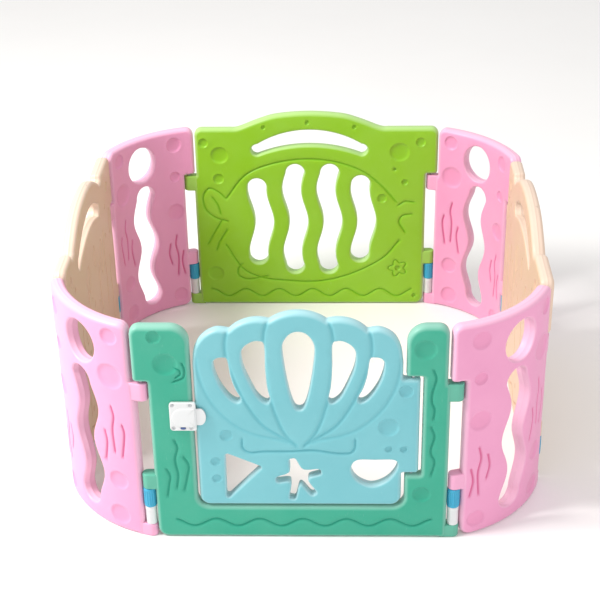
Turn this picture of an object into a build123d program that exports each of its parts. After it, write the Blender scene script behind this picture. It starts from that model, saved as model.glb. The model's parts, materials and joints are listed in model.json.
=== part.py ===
from build123d import *
import math
import os

# An eight-panel blow-moulded playpen: four flat panels, one of them a gate, and four curved corner
# panels, pinned edge to edge in a closed ring. All sizes are in millimetres. The origin is on the
# floor at the ring's centre, +Z is up and the gate faces -Y. Seen from outside, each panel's left
# end has an overhang and a lower tab that carry two steel pins, and its right end has a foot and an
# upper tab that the neighbour's pins drop into.

# Driving dimensions of the ring
HEIGHT = 600  # floor to the shoulder of a panel
THICK = 34  # panel, face to face
HALF_SPAN = 372  # middle of a flat panel to its pin axes
RING_HALF = 596  # ring centre to the mid-plane of a flat panel
CORNER_HALF_SWEEP = 30  # degrees, middle of a corner panel to its pin axes

# Panel ends, measured from the pin axis and from the floor
EDGE = 16.5  # pin axis to the panel's edge
OVERHANG = 18  # the overhang goes past its pin axis by this much
RETREAT = 24  # pin axis to the edge that faces a neighbour's overhang
OVERHANG_Z = 451
STEP_Z = 445
END_ROUND = 10
TAB_R = 15
TAB_REACH = 32
LOWER_TAB = (142, 185)
UPPER_TAB = (397, STEP_Z)
FOOT = (0, 35)

# Seam hardware
PIN_R = 6
RUNNING = 0.06  # radial clearance of a turning fit
LOWER_PIN = (16, 170)
UPPER_PIN = (402, 490)
SLEEVE_R = 14.5
SLEEVE = (FOOT[1], 88)
RING_R = 16
RING_Z = (88.3, 141.7)
RING_RIBS = 12

# Gate frame and door
INNER_LEFT, INNER_RIGHT = -253, 251
RAIL_TOP = 92
POST_RIGHT = 291  # the narrow stretch of the right post starts here
LUG_TOP, BLOCK_BOTTOM = 186, 465
DOOR_THICK = 30
DOOR_LEFT, DOOR_RIGHT, DOOR_BOTTOM = -247, 243, 97
HINGE_X = 267
HINGE_BLOCK = (192, 458)
HINGE_EDGE = 284
DOOR_PIN_R = 5
DOOR_PIN_GRIP = 26

# Latch on the left post
LATCH_X = (-307, -244)
LATCH_Z = (322, 400)
LATCH_DEEP = 8
BOLT_MID_Z = 359
BOLT_HALF = 23
BOLT_TIP = -221
BOLT_TAIL = -276
BOLT_THICK = 4.4
BOLT_SLIDE = 26
BUTTON = (-276, 329.5)
BUTTON_SIZE = (12, 6)
BUTTON_PROUD = 2
BUTTON_TRAVEL = 2
SCREW_R = 2
SCREW_INSET_X = (8, 13)
SCREW_INSET_Z = 7

# Openings in the panels
HANDLE_HALF = 158  # middle of a handle slot to the centres of its round ends
HANDLE_END_R = 19
HANDLE_END_Z = 532
HANDLE_LOW, HANDLE_HIGH = 544, 597
BACK_SLOTS = [(-165, 150, 447), (-60, 109, 485), (46, 109, 485), (153, 143, 438)]  # x, low, high
BACK_WAVE = {"width": 58, "sway": -10.5, "crest": 290, "length": 215}
CORNER_SLOT = {"low": 40, "high": 444, "width": 68, "sway": 12, "crest": 343, "length": 187}


def on_panel(sketch):
    """Stand a sketch up on the panel's mid-plane, its X along the panel and its Y upwards."""
    return Plane.XZ * sketch


def slab(sketch, thick=THICK):
    return extrude(on_panel(sketch), amount=thick / 2, both=True)


def upright(sketch, low, high):
    """Raise a plan sketch from one height to another."""
    return extrude(Pos(0, 0, low) * sketch, amount=high - low)


def box_sketch(x0, x1, z0, z1):
    return Pos((x0 + x1) / 2, (z0 + z1) / 2) * Rectangle(x1 - x0, z1 - z0)


def round_corners(sketch, corners):
    """Round the corners of a sketch nearest to the given (x, z), each by its own radius."""
    for x, z, radius in corners:
        nearest = sketch.vertices().sort_by_distance((x, z, 0))[0]
        sketch = fillet(nearest, radius)
    return sketch


def blob(points):
    """A closed smooth outline through the points."""
    return make_face(Spline(*points, periodic=True))


def mirrored(points):
    return [(-x, z) for x, z in reversed(points)]


def wavy_slot(x, low, high, width, sway, crest, length):
    """A slot that sways sideways as it rises, furthest out at the crest's height, with round ends."""
    steps = 14
    first, last = low + width / 2, high - width / 2

    def middle(z):
        return x + sway * math.cos(2 * math.pi * (z - crest) / length)

    heights = [first + (last - first) * i / steps for i in range(steps + 1)]
    left = [(middle(z) - width / 2, z) for z in heights]
    right = [(middle(z) + width / 2, z) for z in heights]
    return make_face(
        [
            Spline(*left),
            ThreePointArc(left[-1], (middle(last), high), right[-1]),
            Spline(*right),
            ThreePointArc(left[0], (middle(first), low), right[0]),
        ]
    )


def handle_slot():
    """An arched grip opening with round ends."""
    h, r, z = HANDLE_HALF, HANDLE_END_R, HANDLE_END_Z
    return make_face(
        [
            ThreePointArc((-h, z - r), (0, HANDLE_LOW), (h, z - r)),
            ThreePointArc((h, z - r), (h + r, z), (h, z + r)),
            ThreePointArc((h, z + r), (0, HANDLE_HIGH), (-h, z + r)),
            ThreePointArc((-h, z + r), (-h - r, z), (-h, z - r)),
        ]
    )


def blank_outline(left, left_edge, right_retreat, right_edge):
    """The stepped outline that every panel shares, with its rounded free corners."""
    outline = box_sketch(left_edge, right_edge, 0, STEP_Z)
    outline += box_sketch(left_edge, right_retreat, STEP_Z, HEIGHT)
    outline += box_sketch(left, left_edge, OVERHANG_Z, HEIGHT)
    return round_corners(outline, [(left_edge, 0, 25), (left, HEIGHT, 22), (left, OVERHANG_Z, 8)])


def end_places(half_angle, half_span):
    """The two pin axes of a panel, each turned so that its X runs into the panel."""
    left = Pos(-half_span, 0, 0) * Rot(0, 0, -half_angle)
    right = Pos(half_span, 0, 0) * Rot(0, 0, 180 + half_angle)
    return left, right


def tab(low, high):
    knuckle = upright(Circle(TAB_R), low, high)
    return knuckle + Pos(0, 0, low) * Box(
        TAB_REACH, 2 * TAB_R, high - low, align=(Align.MIN, Align.CENTER, Align.MIN)
    )


def with_ends(body, half_angle, half_span):
    """Add the knuckles to both ends of a panel and drill them for the pins."""
    left, right = end_places(half_angle, half_span)
    body += left * tab(*LOWER_TAB)
    body += right * tab(*FOOT)
    body += right * tab(*UPPER_TAB)
    tight, free = Circle(PIN_R), Circle(PIN_R + RUNNING)
    body -= left * upright(tight, LOWER_TAB[0], LOWER_PIN[1])
    body -= left * upright(tight, OVERHANG_Z, UPPER_PIN[1])
    body -= right * upright(free, LOWER_PIN[0] - 3, FOOT[1])
    body -= right * upright(free, *UPPER_TAB)
    return body


def flat_stock(top):
    """A bar as long as the panel at each height, with its end edges rounded in plan."""
    def bar(x0, x1, z0, z1):
        return upright(Pos((x0 + x1) / 2, 0) * RectangleRounded(x1 - x0, THICK, END_ROUND), z0, z1)

    edge = HALF_SPAN - EDGE
    return bar(-edge, edge, 0, STEP_Z) + bar(-HALF_SPAN - OVERHANG, HALF_SPAN - RETREAT, STEP_Z, top)


def flat_panel(outline, openings, top=HEIGHT):
    body = slab(outline) & flat_stock(top)
    body = with_ends(body, 0, HALF_SPAN)
    for opening in openings:
        body -= slab(opening, 2 * THICK)
    return Pos(0, -RING_HALF, 0) * body


def flat_blank():
    edge = HALF_SPAN - EDGE
    return blank_outline(-HALF_SPAN - OVERHANG, -edge, HALF_SPAN - RETREAT, edge)


# ---- Gate frame: two posts and a bottom rail around the door ----
def gate_frame():
    frame = round_corners(flat_blank(), [(HALF_SPAN - RETREAT, HEIGHT, 25)])
    doorway = box_sketch(INNER_LEFT, INNER_RIGHT, RAIL_TOP, HEIGHT + 1)
    doorway += box_sketch(INNER_RIGHT, POST_RIGHT, LUG_TOP, BLOCK_BOTTOM)
    doorway = round_corners(doorway, [(INNER_LEFT, RAIL_TOP, 30), (INNER_RIGHT, RAIL_TOP, 30)])
    frame = round_corners(frame - doorway, [(INNER_LEFT, HEIGHT, 45), (INNER_RIGHT, HEIGHT, 47)])
    body = slab(frame) & flat_stock(HEIGHT)
    body = with_ends(body, 0, HALF_SPAN)
    hole = Pos(HINGE_X, 0) * Circle(DOOR_PIN_R)
    body -= upright(hole, LUG_TOP - DOOR_PIN_GRIP, LUG_TOP)
    body -= upright(hole, BLOCK_BOTTOM, BLOCK_BOTTOM + DOOR_PIN_GRIP)
    for x, z in screw_places():
        body -= Pos(x, -THICK / 2, z) * Rot(90, 0, 0) * Cylinder(SCREW_R, 20)
    return Pos(0, -RING_HALF, 0) * body


# ---- Door: a scallop shell with cut-outs, hinged on the right ----
CENTRE_DROP = [(0, 586), (22, 577), (37, 547), (34, 492), (24, 426), (12, 382), (0, 373)]
SECOND_DROP = [
    (79, 550), (90, 561), (107, 559), (126, 545), (133, 524), (129, 486),
    (114, 444), (97, 408), (78, 392), (69, 402), (75, 438), (78, 488),
]
OUTER_DROP = [
    (166, 511), (176, 517), (192, 514), (199, 501), (196, 472), (184, 438),
    (164, 406), (146, 394), (138, 404), (151, 434), (160, 468),
]
HALF_MOON = [
    (142, 230), (180, 230), (222, 230), (234, 219), (228, 194),
    (206, 166), (172, 152), (139, 167), (123, 194), (126, 219),
]
TRIANGLE = [(-181, 250), (-92, 209), (-182, 111)]
STAR_MIDDLE = (-6, 180)
STAR_ARMS = [(16, 57), (105, 55), (190, 54), (257, 68), (307, 66)]  # direction, length
STAR_WAIST = 25
STAR_TIP_HALF = 8


def star():
    """A starfish of five blunt arms of uneven length."""
    cx, cz = STAR_MIDDLE
    outline = []
    for i, (turn, reach) in enumerate(STAR_ARMS):
        along = (math.cos(math.radians(turn)), math.sin(math.radians(turn)))
        next_turn = STAR_ARMS[(i + 1) % len(STAR_ARMS)][0]
        between = math.radians(turn + ((next_turn - turn) % 360) / 2)
        for side, out in ((-1, 0.93), (0, 1), (1, 0.93)):
            outline.append(
                (
                    cx + along[0] * reach * out - along[1] * side * STAR_TIP_HALF,
                    cz + along[1] * reach * out + along[0] * side * STAR_TIP_HALF,
                )
            )
        outline.append((cx + STAR_WAIST * math.cos(between), cz + STAR_WAIST * math.sin(between)))
    return blob(outline)


def door_openings():
    drop = CENTRE_DROP + mirrored(CENTRE_DROP)[1:-1]
    triangle = make_face(Polyline(*TRIANGLE, close=True))
    cuts = [blob(drop), star(), blob(HALF_MOON)]
    cuts.append(fillet(triangle.vertices(), 5))
    for points in (SECOND_DROP, OUTER_DROP):
        cuts.append(blob(points))
        cuts.append(blob(mirrored(points)))
    return cuts


def door_outline():
    """The shell: five lobes on top, straight sides and a hinge block on the right."""
    inner, outer = (66, 613), (159, 588)
    lobe_end = 500

    def side(s, edge):
        second = ThreePointArc((s * inner[0], inner[1]), (s * 112, 615), (s * outer[0], outer[1]))
        curve = [(s * outer[0], outer[1]), (s * 190, 591), (s * 221, 573), (edge - s * 6, 541)]
        last = Spline(*curve, (edge, lobe_end), tangents=[(s * 0.9, 0.45), (0, -1)])
        return [second, last]

    edges = side(1, DOOR_RIGHT) + side(-1, DOOR_LEFT)
    edges.append(ThreePointArc((-inner[0], inner[1]), (0, 635), inner))
    edges.append(
        Polyline(
            (DOOR_LEFT, lobe_end), (DOOR_LEFT, DOOR_BOTTOM), (DOOR_RIGHT, DOOR_BOTTOM),
            (DOOR_RIGHT, HINGE_BLOCK[0]), (HINGE_EDGE, HINGE_BLOCK[0]), (HINGE_EDGE, HINGE_BLOCK[1]),
            (DOOR_RIGHT, HINGE_BLOCK[1]), (DOOR_RIGHT, lobe_end),
        )
    )
    outline = make_face(edges)
    corners = [(DOOR_LEFT, DOOR_BOTTOM, 25), (DOOR_RIGHT, DOOR_BOTTOM, 25)]
    corners += [(HINGE_EDGE, HINGE_BLOCK[0], 4), (HINGE_EDGE, HINGE_BLOCK[1], 4)]
    return round_corners(outline, corners)


def gate_door():
    door = slab(door_outline(), DOOR_THICK)
    # The hinge block is rounded about the hinge axis so that it turns clear of the post
    block = upright(Pos(HINGE_X, 0) * Circle(HINGE_EDGE - HINGE_X), *HINGE_BLOCK)
    behind = Pos(HINGE_X, 0, HINGE_BLOCK[0]) * Box(
        THICK, THICK, HINGE_BLOCK[1] - HINGE_BLOCK[0], align=(Align.MIN, Align.CENTER, Align.MIN)
    )
    door -= behind - block
    for opening in door_openings():
        door -= slab(opening, 2 * THICK)
    hole = Pos(HINGE_X, 0) * Circle(DOOR_PIN_R + RUNNING)
    door -= upright(hole, HINGE_BLOCK[0], HINGE_BLOCK[0] + DOOR_PIN_GRIP)
    door -= upright(hole, HINGE_BLOCK[1] - DOOR_PIN_GRIP, HINGE_BLOCK[1])
    return Pos(0, -RING_HALF, 0) * door


def door_pin(low, high):
    return Pos(HINGE_X, -RING_HALF, 0) * upright(Circle(DOOR_PIN_R), low, high)


# ---- Latch: a screwed plate, a sliding tongue and a safety button ----
def screw_places():
    across = (LATCH_X[0] + SCREW_INSET_X[0], LATCH_X[1] - SCREW_INSET_X[1])
    up = (LATCH_Z[0] + SCREW_INSET_Z, LATCH_Z[1] - SCREW_INSET_Z)
    return [(x, z) for x in across for z in up]


def on_face(solid, out=0):
    """Move a solid made on the XZ plane to the outer face of the gate, out by the given depth."""
    return Pos(0, -RING_HALF - THICK / 2 - out, 0) * solid


def raised(sketch, start, end):
    """A solid that stands on the gate's outer face from one depth to another."""
    return on_face(extrude(on_panel(sketch), amount=end - start), start)


def bolt_sketch(grow=0.0):
    """The tongue: a strip with a half-oval tip."""
    half = BOLT_HALF + grow
    root = BOLT_TIP - 0.62 * BOLT_HALF
    strip = box_sketch(BOLT_TAIL, root, BOLT_MID_Z - half, BOLT_MID_Z + half)
    tip = Pos(root, BOLT_MID_Z) * Ellipse(BOLT_TIP - root, half)
    return strip + tip


def button_sketch(grow=0.0):
    long, tall = BUTTON_SIZE
    return Pos(*BUTTON) * SlotOverall(long + 2 * grow, tall + 2 * grow)


def latch_plate():
    plate = round_corners(
        box_sketch(*LATCH_X, *LATCH_Z),
        [(LATCH_X[0], LATCH_Z[0], 8), (LATCH_X[0], LATCH_Z[1], 8),
         (LATCH_X[1], LATCH_Z[0], 4), (LATCH_X[1], LATCH_Z[1], 4)],
    )
    body = raised(plate, 0, LATCH_DEEP)
    half = BOLT_HALF + 0.4
    channel = box_sketch(BOLT_TAIL - BOLT_SLIDE - 0.5, LATCH_X[1] + 1, BOLT_MID_Z - half, BOLT_MID_Z + half)
    body -= raised(channel, 0, BOLT_THICK + 1.2)
    body -= raised(button_sketch(0.25), 0, LATCH_DEEP)
    for x, z in screw_places():
        body -= raised(Pos(x, z) * Circle(SCREW_R + 0.2), 0, LATCH_DEEP)
        body -= raised(Pos(x, z) * Circle(4.2), LATCH_DEEP - 2.4, LATCH_DEEP)
    return body


def latch_bolt():
    return raised(bolt_sketch(), 0.6, 0.6 + BOLT_THICK)


def latch_button():
    return raised(button_sketch(), BUTTON_TRAVEL + 1.2, LATCH_DEEP + BUTTON_PROUD)


def latch_spring():
    """A bow of spring strip behind the button, between it and the post."""
    width, room, strip = 4.0, BUTTON_TRAVEL + 1.2, 0.4
    half = BUTTON_SIZE[0] / 2 - 1
    outer = ThreePointArc((-half, 0), (0, room), (half, 0))
    inner = ThreePointArc((-half + 2 * strip, 0), (0, room - strip), (half - 2 * strip, 0))
    left = Line((-half, 0), (-half + 2 * strip, 0))
    right = Line((half - 2 * strip, 0), (half, 0))
    bow = make_face([outer, inner, left, right])
    solid = extrude(bow, amount=width / 2, both=True)
    return on_face(Pos(BUTTON[0], 0, BUTTON[1]) * Rot(0, 0, 180) * solid)


def latch_screws():
    screws = []
    for x, z in screw_places():
        shank = raised(Pos(x, z) * Circle(SCREW_R), -9, LATCH_DEEP - 2.4)
        head = raised(Pos(x, z) * Circle(4), LATCH_DEEP - 2.4, LATCH_DEEP - 0.4)
        recess = Pos(x, z) * (Rectangle(4.4, 1.1) + Rectangle(1.1, 4.4))
        screws.append(shank + head - raised(recess, LATCH_DEEP - 1.6, LATCH_DEEP - 0.4))
    return Compound(children=screws)


# ---- Back panel: an arched top, a grip slot and four swaying slots ----
ARCH_FOOT = 215
BACK_ARCH = [(-ARCH_FOOT, HEIGHT), (-152, 627), (-96, 643), (0, 650), (96, 643), (152, 627), (ARCH_FOOT, HEIGHT)]


def back_panel():
    outline = round_corners(flat_blank(), [(HALF_SPAN - RETREAT, HEIGHT, 22)])
    arch = make_face(
        [Spline(*BACK_ARCH, tangents=[(1, 0), (1, 0)]), Line((-ARCH_FOOT, HEIGHT), (ARCH_FOOT, HEIGHT))]
    )
    slots = [wavy_slot(x, low, high, **BACK_WAVE) for x, low, high in BACK_SLOTS]
    return flat_panel(outline + arch, [handle_slot(), *slots], BACK_ARCH[3][1])


# ---- Side panels: a shallow notch each side of the arch ----
NOTCH_X, NOTCH_Z, NOTCH_R = 215, 585, 7
SIDE_ARCH = [(-NOTCH_X, NOTCH_Z), (-182, 608), (-105, 642), (0, 653), (105, 642), (182, 608), (NOTCH_X, NOTCH_Z)]


def side_panel():
    shoulder = 30
    outline = round_corners(flat_blank(), [(HALF_SPAN - RETREAT, HEIGHT, 22)])
    notch = box_sketch(-NOTCH_X - shoulder, NOTCH_X + shoulder, NOTCH_Z, HEIGHT + 1)
    ends = (-NOTCH_X - shoulder, NOTCH_X + shoulder)
    notch = round_corners(notch, [(x, NOTCH_Z, NOTCH_R) for x in ends])
    arch = make_face([Spline(*SIDE_ARCH), Line(SIDE_ARCH[0], SIDE_ARCH[-1])])
    outline = round_corners(outline - notch, [(x, HEIGHT, NOTCH_R) for x in ends])
    return flat_panel(outline + arch, [handle_slot()], SIDE_ARCH[3][1])


# ---- Corner panels: an arc with an oval hole over a swaying slot ----
CHORD_HALF = (RING_HALF - HALF_SPAN) / math.sqrt(2)
CHORD_OUT = (RING_HALF + HALF_SPAN) / math.sqrt(2)
CORNER_R = CHORD_HALF / math.sin(math.radians(CORNER_HALF_SWEEP))
ARC_Y = CORNER_R * math.cos(math.radians(CORNER_HALF_SWEEP))  # from the chord inwards
OVAL = (0, 516, 52, 56)


def corner_sector(start, end, low, high):
    """A curved bar between two distances along the arc from the panel's middle."""
    inner, outer = CORNER_R - THICK / 2, CORNER_R + THICK / 2
    a, b = math.degrees(start / CORNER_R), math.degrees(end / CORNER_R)
    ends = []
    for turn in (a, b):
        x, y = math.sin(math.radians(turn)), -math.cos(math.radians(turn))
        ends.append(Line((x * inner, ARC_Y + y * inner), (x * outer, ARC_Y + y * outer)))
    arcs = [CenterArc((0, ARC_Y), r, a - 90, b - a) for r in (inner, outer)]
    plan = make_face([*ends, *arcs])
    return upright(fillet(plan.vertices(), END_ROUND), low, high)


def corner_panel():
    """One corner panel, made about its chord with its outer face to -Y."""
    half = CORNER_R * math.radians(CORNER_HALF_SWEEP)

    def across(distance):
        return CORNER_R * math.sin(distance / CORNER_R)

    body = corner_sector(-half + EDGE, half - EDGE, 0, STEP_Z)
    body += corner_sector(-half - OVERHANG, half - RETREAT, STEP_Z, HEIGHT)
    left, retreat = -across(half + OVERHANG), across(half - RETREAT)
    outline = blank_outline(left, -across(half - EDGE), retreat, across(half - EDGE))
    outline = round_corners(outline, [(retreat, HEIGHT, 22)])
    # The outline stands out past the arc's ends, which the curved bars already finish
    body &= slab(outline, 8 * THICK)
    body = with_ends(body, CORNER_HALF_SWEEP, CHORD_HALF)
    x, z, half_wide, half_tall = OVAL
    body -= slab(Pos(x, z) * Ellipse(half_wide, half_tall), 8 * THICK)
    body -= slab(wavy_slot(0, **CORNER_SLOT), 8 * THICK)
    return body


# ---- Seam hardware ----
def sleeve():
    return upright(Circle(SLEEVE_R) - Circle(PIN_R + RUNNING), *SLEEVE)


def lock_ring():
    """A finger-turned ring with shallow grip ribs round it."""
    low, high = RING_Z
    body = upright(Circle(RING_R - 0.8) - Circle(PIN_R + RUNNING), low, high)
    rib = Box(1.6, 4, high - low - 8, align=(Align.CENTER, Align.CENTER, Align.MIN))
    ribs = [Rot(0, 0, 360 * i / RING_RIBS) * Pos(RING_R - 0.8, 0, low + 4) * rib for i in range(RING_RIBS)]
    return body + ribs


def pin(span):
    low, high = span
    return upright(Circle(PIN_R), low, high)


# ---- Placing ----
def turned(solid, quarter):
    return Rot(0, 0, 90 * quarter) * solid


def seam_places():
    """Each seam's name and pin axis, going round from the gate's right end."""
    places = []
    for quarter, side in enumerate(("gate", "right", "back", "left")):
        for end, x in (("right", HALF_SPAN), ("left", -HALF_SPAN)):
            places.append((f"{side}_{end}", Rot(0, 0, 90 * quarter) * Pos(x, -RING_HALF, 0)))
    return places


def build():
    nodes = {
        "gate_frame": gate_frame(),
        "gate_door": gate_door(),
        "door_pin_lower": door_pin(LUG_TOP - DOOR_PIN_GRIP, HINGE_BLOCK[0] + DOOR_PIN_GRIP - 2),
        "door_pin_upper": door_pin(HINGE_BLOCK[1] - DOOR_PIN_GRIP + 2, BLOCK_BOTTOM + DOOR_PIN_GRIP),
        "latch_plate": latch_plate(),
        "latch_bolt": latch_bolt(),
        "latch_button": latch_button(),
        "latch_button_spring": latch_spring(),
        "latch_screws": latch_screws(),
        "right_panel": turned(side_panel(), 1),
        "back_panel": turned(back_panel(), 2),
        "left_panel": turned(side_panel(), 3),
    }
    corner = Pos(0, -CHORD_OUT, 0) * corner_panel()
    for i, place in enumerate(("front_right", "back_right", "back_left", "front_left")):
        nodes[f"corner_{place}"] = Rot(0, 0, 45 + 90 * i) * corner
    for seam, place in seam_places():
        nodes[f"sleeve_{seam}"] = place * sleeve()
        nodes[f"lock_ring_{seam}"] = place * lock_ring()
        nodes[f"lower_pin_{seam}"] = place * pin(LOWER_PIN)
        nodes[f"upper_pin_{seam}"] = place * pin(UPPER_PIN)
    return nodes


os.makedirs("parts", exist_ok=True)
for name, solid in build().items():
    export_step(solid, f"parts/{name}.step")
    print(name, round(solid.volume / 1000, 1), "cm3")
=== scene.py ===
"""An eight-panel blow-moulded playpen, built around its fixed frame.

Outlines and relief are in millimetres on a panel's own flat: x along it as seen from outside the
ring, z up, and "out" from its mid-plane away from the ring's centre. Blender objects are in metres.
"""

import json
import math

import bpy
import numpy as np
from bpy.props import FloatProperty, FloatVectorProperty, IntProperty, PointerProperty
from mathutils import Matrix, Vector, kdtree
from mathutils.geometry import delaunay_2d_cdt

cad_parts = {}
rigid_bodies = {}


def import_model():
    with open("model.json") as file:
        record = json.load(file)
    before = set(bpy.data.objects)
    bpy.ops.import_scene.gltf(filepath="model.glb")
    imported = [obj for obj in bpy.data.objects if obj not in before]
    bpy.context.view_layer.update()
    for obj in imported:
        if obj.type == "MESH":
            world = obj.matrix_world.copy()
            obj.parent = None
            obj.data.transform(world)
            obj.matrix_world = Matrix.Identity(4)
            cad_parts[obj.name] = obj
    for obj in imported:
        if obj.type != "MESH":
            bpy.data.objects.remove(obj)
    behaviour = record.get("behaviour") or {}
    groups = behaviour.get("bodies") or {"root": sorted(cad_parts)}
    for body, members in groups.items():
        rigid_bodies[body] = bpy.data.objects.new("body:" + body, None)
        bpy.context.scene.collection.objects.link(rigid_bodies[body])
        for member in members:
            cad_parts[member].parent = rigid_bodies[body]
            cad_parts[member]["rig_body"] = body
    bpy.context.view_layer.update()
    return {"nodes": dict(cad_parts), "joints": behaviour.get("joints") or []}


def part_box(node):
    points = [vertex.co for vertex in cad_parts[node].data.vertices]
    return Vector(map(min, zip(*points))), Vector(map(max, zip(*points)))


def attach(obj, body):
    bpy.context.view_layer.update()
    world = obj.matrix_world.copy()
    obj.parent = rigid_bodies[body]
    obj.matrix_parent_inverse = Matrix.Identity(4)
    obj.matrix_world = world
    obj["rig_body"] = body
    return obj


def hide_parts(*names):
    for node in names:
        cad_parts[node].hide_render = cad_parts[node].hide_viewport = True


bl_info = {
    "name": "Seaside Playpen",
    "version": (1, 0, 0),
    "blender": (4, 5, 0),
    "location": "View3D > Sidebar > Playpen",
    "description": "Builds an eight-panel playpen with a shell gate around its fixed frame",
    "category": "Object",
}

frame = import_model()
MM = 0.001


def span_mm(node, axis):
    """A node's lowest and highest place along an axis (0, 1 or 2), in millimetres."""
    low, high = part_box(node)
    return round(low[axis] / MM, 2), round(high[axis] / MM, 2)


def inset(span, by):
    """A span's two ends moved in by the same amount."""
    return span[0] + by, span[1] - by


def middle_mm(node, axis):
    return sum(span_mm(node, axis)) / 2


# ---- Places read from the frame ----
HALF_SPAN = middle_mm("upper_pin_gate_right", 0)
RING_HALF = -middle_mm("upper_pin_gate_right", 1)
HALF_THICK = (span_mm("back_panel", 1)[1] - span_mm("back_panel", 1)[0]) / 2
DOOR_HALF_THICK = (span_mm("gate_door", 1)[1] - span_mm("gate_door", 1)[0]) / 2
DOOR_LEFT, HINGE_EDGE = span_mm("gate_door", 0)
DOOR_BOTTOM = span_mm("gate_door", 2)[0]
BACK_TOP = span_mm("back_panel", 2)[1]
SIDE_TOP = span_mm("right_panel", 2)[1]
SHOULDER = span_mm("gate_frame", 2)[1]
LATCH_X, LATCH_Z = span_mm("latch_plate", 0), span_mm("latch_plate", 2)
BUTTON_X, BUTTON_Z = span_mm("latch_button", 0), span_mm("latch_button", 2)
BOLT_X, BOLT_Z = span_mm("latch_bolt", 0), span_mm("latch_bolt", 2)
PIN_R = (span_mm("upper_pin_gate_right", 0)[1] - span_mm("upper_pin_gate_right", 0)[0]) / 2
SLEEVE_Z = span_mm("sleeve_gate_right", 2)
RING_Z = span_mm("lock_ring_gate_right", 2)
SLEEVE_R = (span_mm("sleeve_gate_right", 0)[1] - span_mm("sleeve_gate_right", 0)[0]) / 2
RING_R = (span_mm("lock_ring_gate_right", 0)[1] - span_mm("lock_ring_gate_right", 0)[0]) / 2

# ---- Corner panels: an arc that turns the ring by 90 degrees less what the seams take ----
CORNER_HALF_SWEEP = math.radians(30)
CHORD_HALF = (RING_HALF - HALF_SPAN) / math.sqrt(2)
CHORD_OUT = (RING_HALF + HALF_SPAN) / math.sqrt(2)
CORNER_R = CHORD_HALF / math.sin(CORNER_HALF_SWEEP)
CORNER_HALF = CORNER_R * CORNER_HALF_SWEEP

# ---- Panel ends, measured from the pin axis and from the floor ----
EDGE, OVERHANG, RETREAT = 16.5, 18, 24
OVERHANG_Z, STEP_Z = 451, 445
TAB_R, TAB_REACH = 15, 32
LOWER_TAB, UPPER_TAB, FOOT = (142, 185), (397, STEP_Z), (0, 35)

# ---- Gate frame and door ----
INNER_LEFT, INNER_RIGHT, RAIL_TOP = -253, 251, 92
POST_RIGHT, LUG_TOP, BLOCK_BOTTOM = 291, 186, 465
DOOR_RIGHT = 243
SCREW_HEAD_R = 4
HINGE_BLOCK = (192, 458)
LOBE_END = 500

SEAMS = [f"{side}_{end}" for side in ("gate", "right", "back", "left") for end in ("right", "left")]
CORNERS = ("front_right", "back_right", "back_left", "front_left")


# ---------------------------------------------------------------- settings
def length(name, description, default):
    return FloatProperty(
        name=name, description=description, default=default, min=0.0, subtype="DISTANCE", unit="LENGTH"
    )


def colour(name, description, default):
    return FloatVectorProperty(
        name=name, description=description, default=default, min=0.0, max=1.0, size=3, subtype="COLOR"
    )


class PlaypenMould(bpy.types.PropertyGroup):
    """Sizes of the blow mould's rounding and relief."""

    panel_roll: length("Panel roll", "Radius of a panel's rolled outer edges", 0.0105)
    door_roll: length("Door roll", "Radius of the door's rolled outer edges", 0.009)
    opening_roll: length("Opening roll", "Radius of the rolled edges round an opening", 0.0048)
    parting_line: length("Parting line", "Height of the ridge where the mould halves met", 0.0004)
    groove_depth: length("Groove depth", "Depth of the sunk lines", 0.0036)
    dimple_depth: length("Dimple depth", "Depth of the round hollows", 0.0042)
    wave: length("Wall wave", "How far the blown walls swell and sink", 0.00035)
    housing: length("Housing", "How far the tongue's housing stands above the latch cover", 0.0018)
    skin_step: length("Skin step", "Mesh size on the open faces", 0.009)
    edge_step: length("Edge step", "Mesh size along the rolled edges", 0.0042)
    ribs: IntProperty(name="Ring ribs", description="Grip ribs round a lock ring", default=16, min=6, max=40)


class PlaypenColours(bpy.types.PropertyGroup):
    """Colours of the plastics, as linear values."""

    gate: colour("Gate", "Sea green of the gate frame", (0.023, 0.358, 0.235))
    door: colour("Door", "Pale blue of the shell door", (0.166, 0.485, 0.540))
    back: colour("Back", "Lime of the back panel", (0.245, 0.525, 0.003))
    corner: colour("Corner", "Pink of the corner panels", (0.790, 0.320, 0.520))
    side: colour("Side", "Beige of the side panels", (0.690, 0.470, 0.325))
    ring: colour("Lock ring", "Blue of the lock rings", (0.002, 0.330, 0.530))
    button: colour("Button", "Dark blue of the latch button", (0.015, 0.060, 0.240))
    fitting: colour("Fittings", "White of the sleeves and the latch", (0.700, 0.710, 0.715))
    steel: colour("Steel", "Zinc-plated steel of the pins and screws", (0.560, 0.570, 0.580))
    floor: colour("Floor", "Pale floor", (0.930, 0.925, 0.920))


class PlaypenStage(bpy.types.PropertyGroup):
    """The view and the studio light."""

    eye: FloatVectorProperty(
        name="Camera place", description="Where the camera stands", default=(0.109, -3.433, 2.233),
        size=3, subtype="TRANSLATION", unit="LENGTH",
    )
    pitch: FloatProperty(
        name="Pitch", description="How far the camera looks down", default=math.radians(28.94), unit="ROTATION"
    )
    yaw: FloatProperty(
        name="Yaw", description="How far the camera turns to its left", default=math.radians(2.08),
        unit="ROTATION",
    )
    roll: FloatProperty(
        name="Roll", description="How far the camera tilts sideways", default=math.radians(1.08), unit="ROTATION"
    )
    lens: FloatProperty(
        name="Lens", description="Focal length on a 36 mm sensor", default=85.8, unit="CAMERA"
    )
    key_power: FloatProperty(name="Key light", description="Power of the window light", default=205, unit="POWER")
    fill_power: FloatProperty(name="Fill light", description="Power of the fill light", default=34, unit="POWER")
    sky: FloatProperty(name="Room light", description="Strength of the even light all round", default=0.78, min=0)


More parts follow.
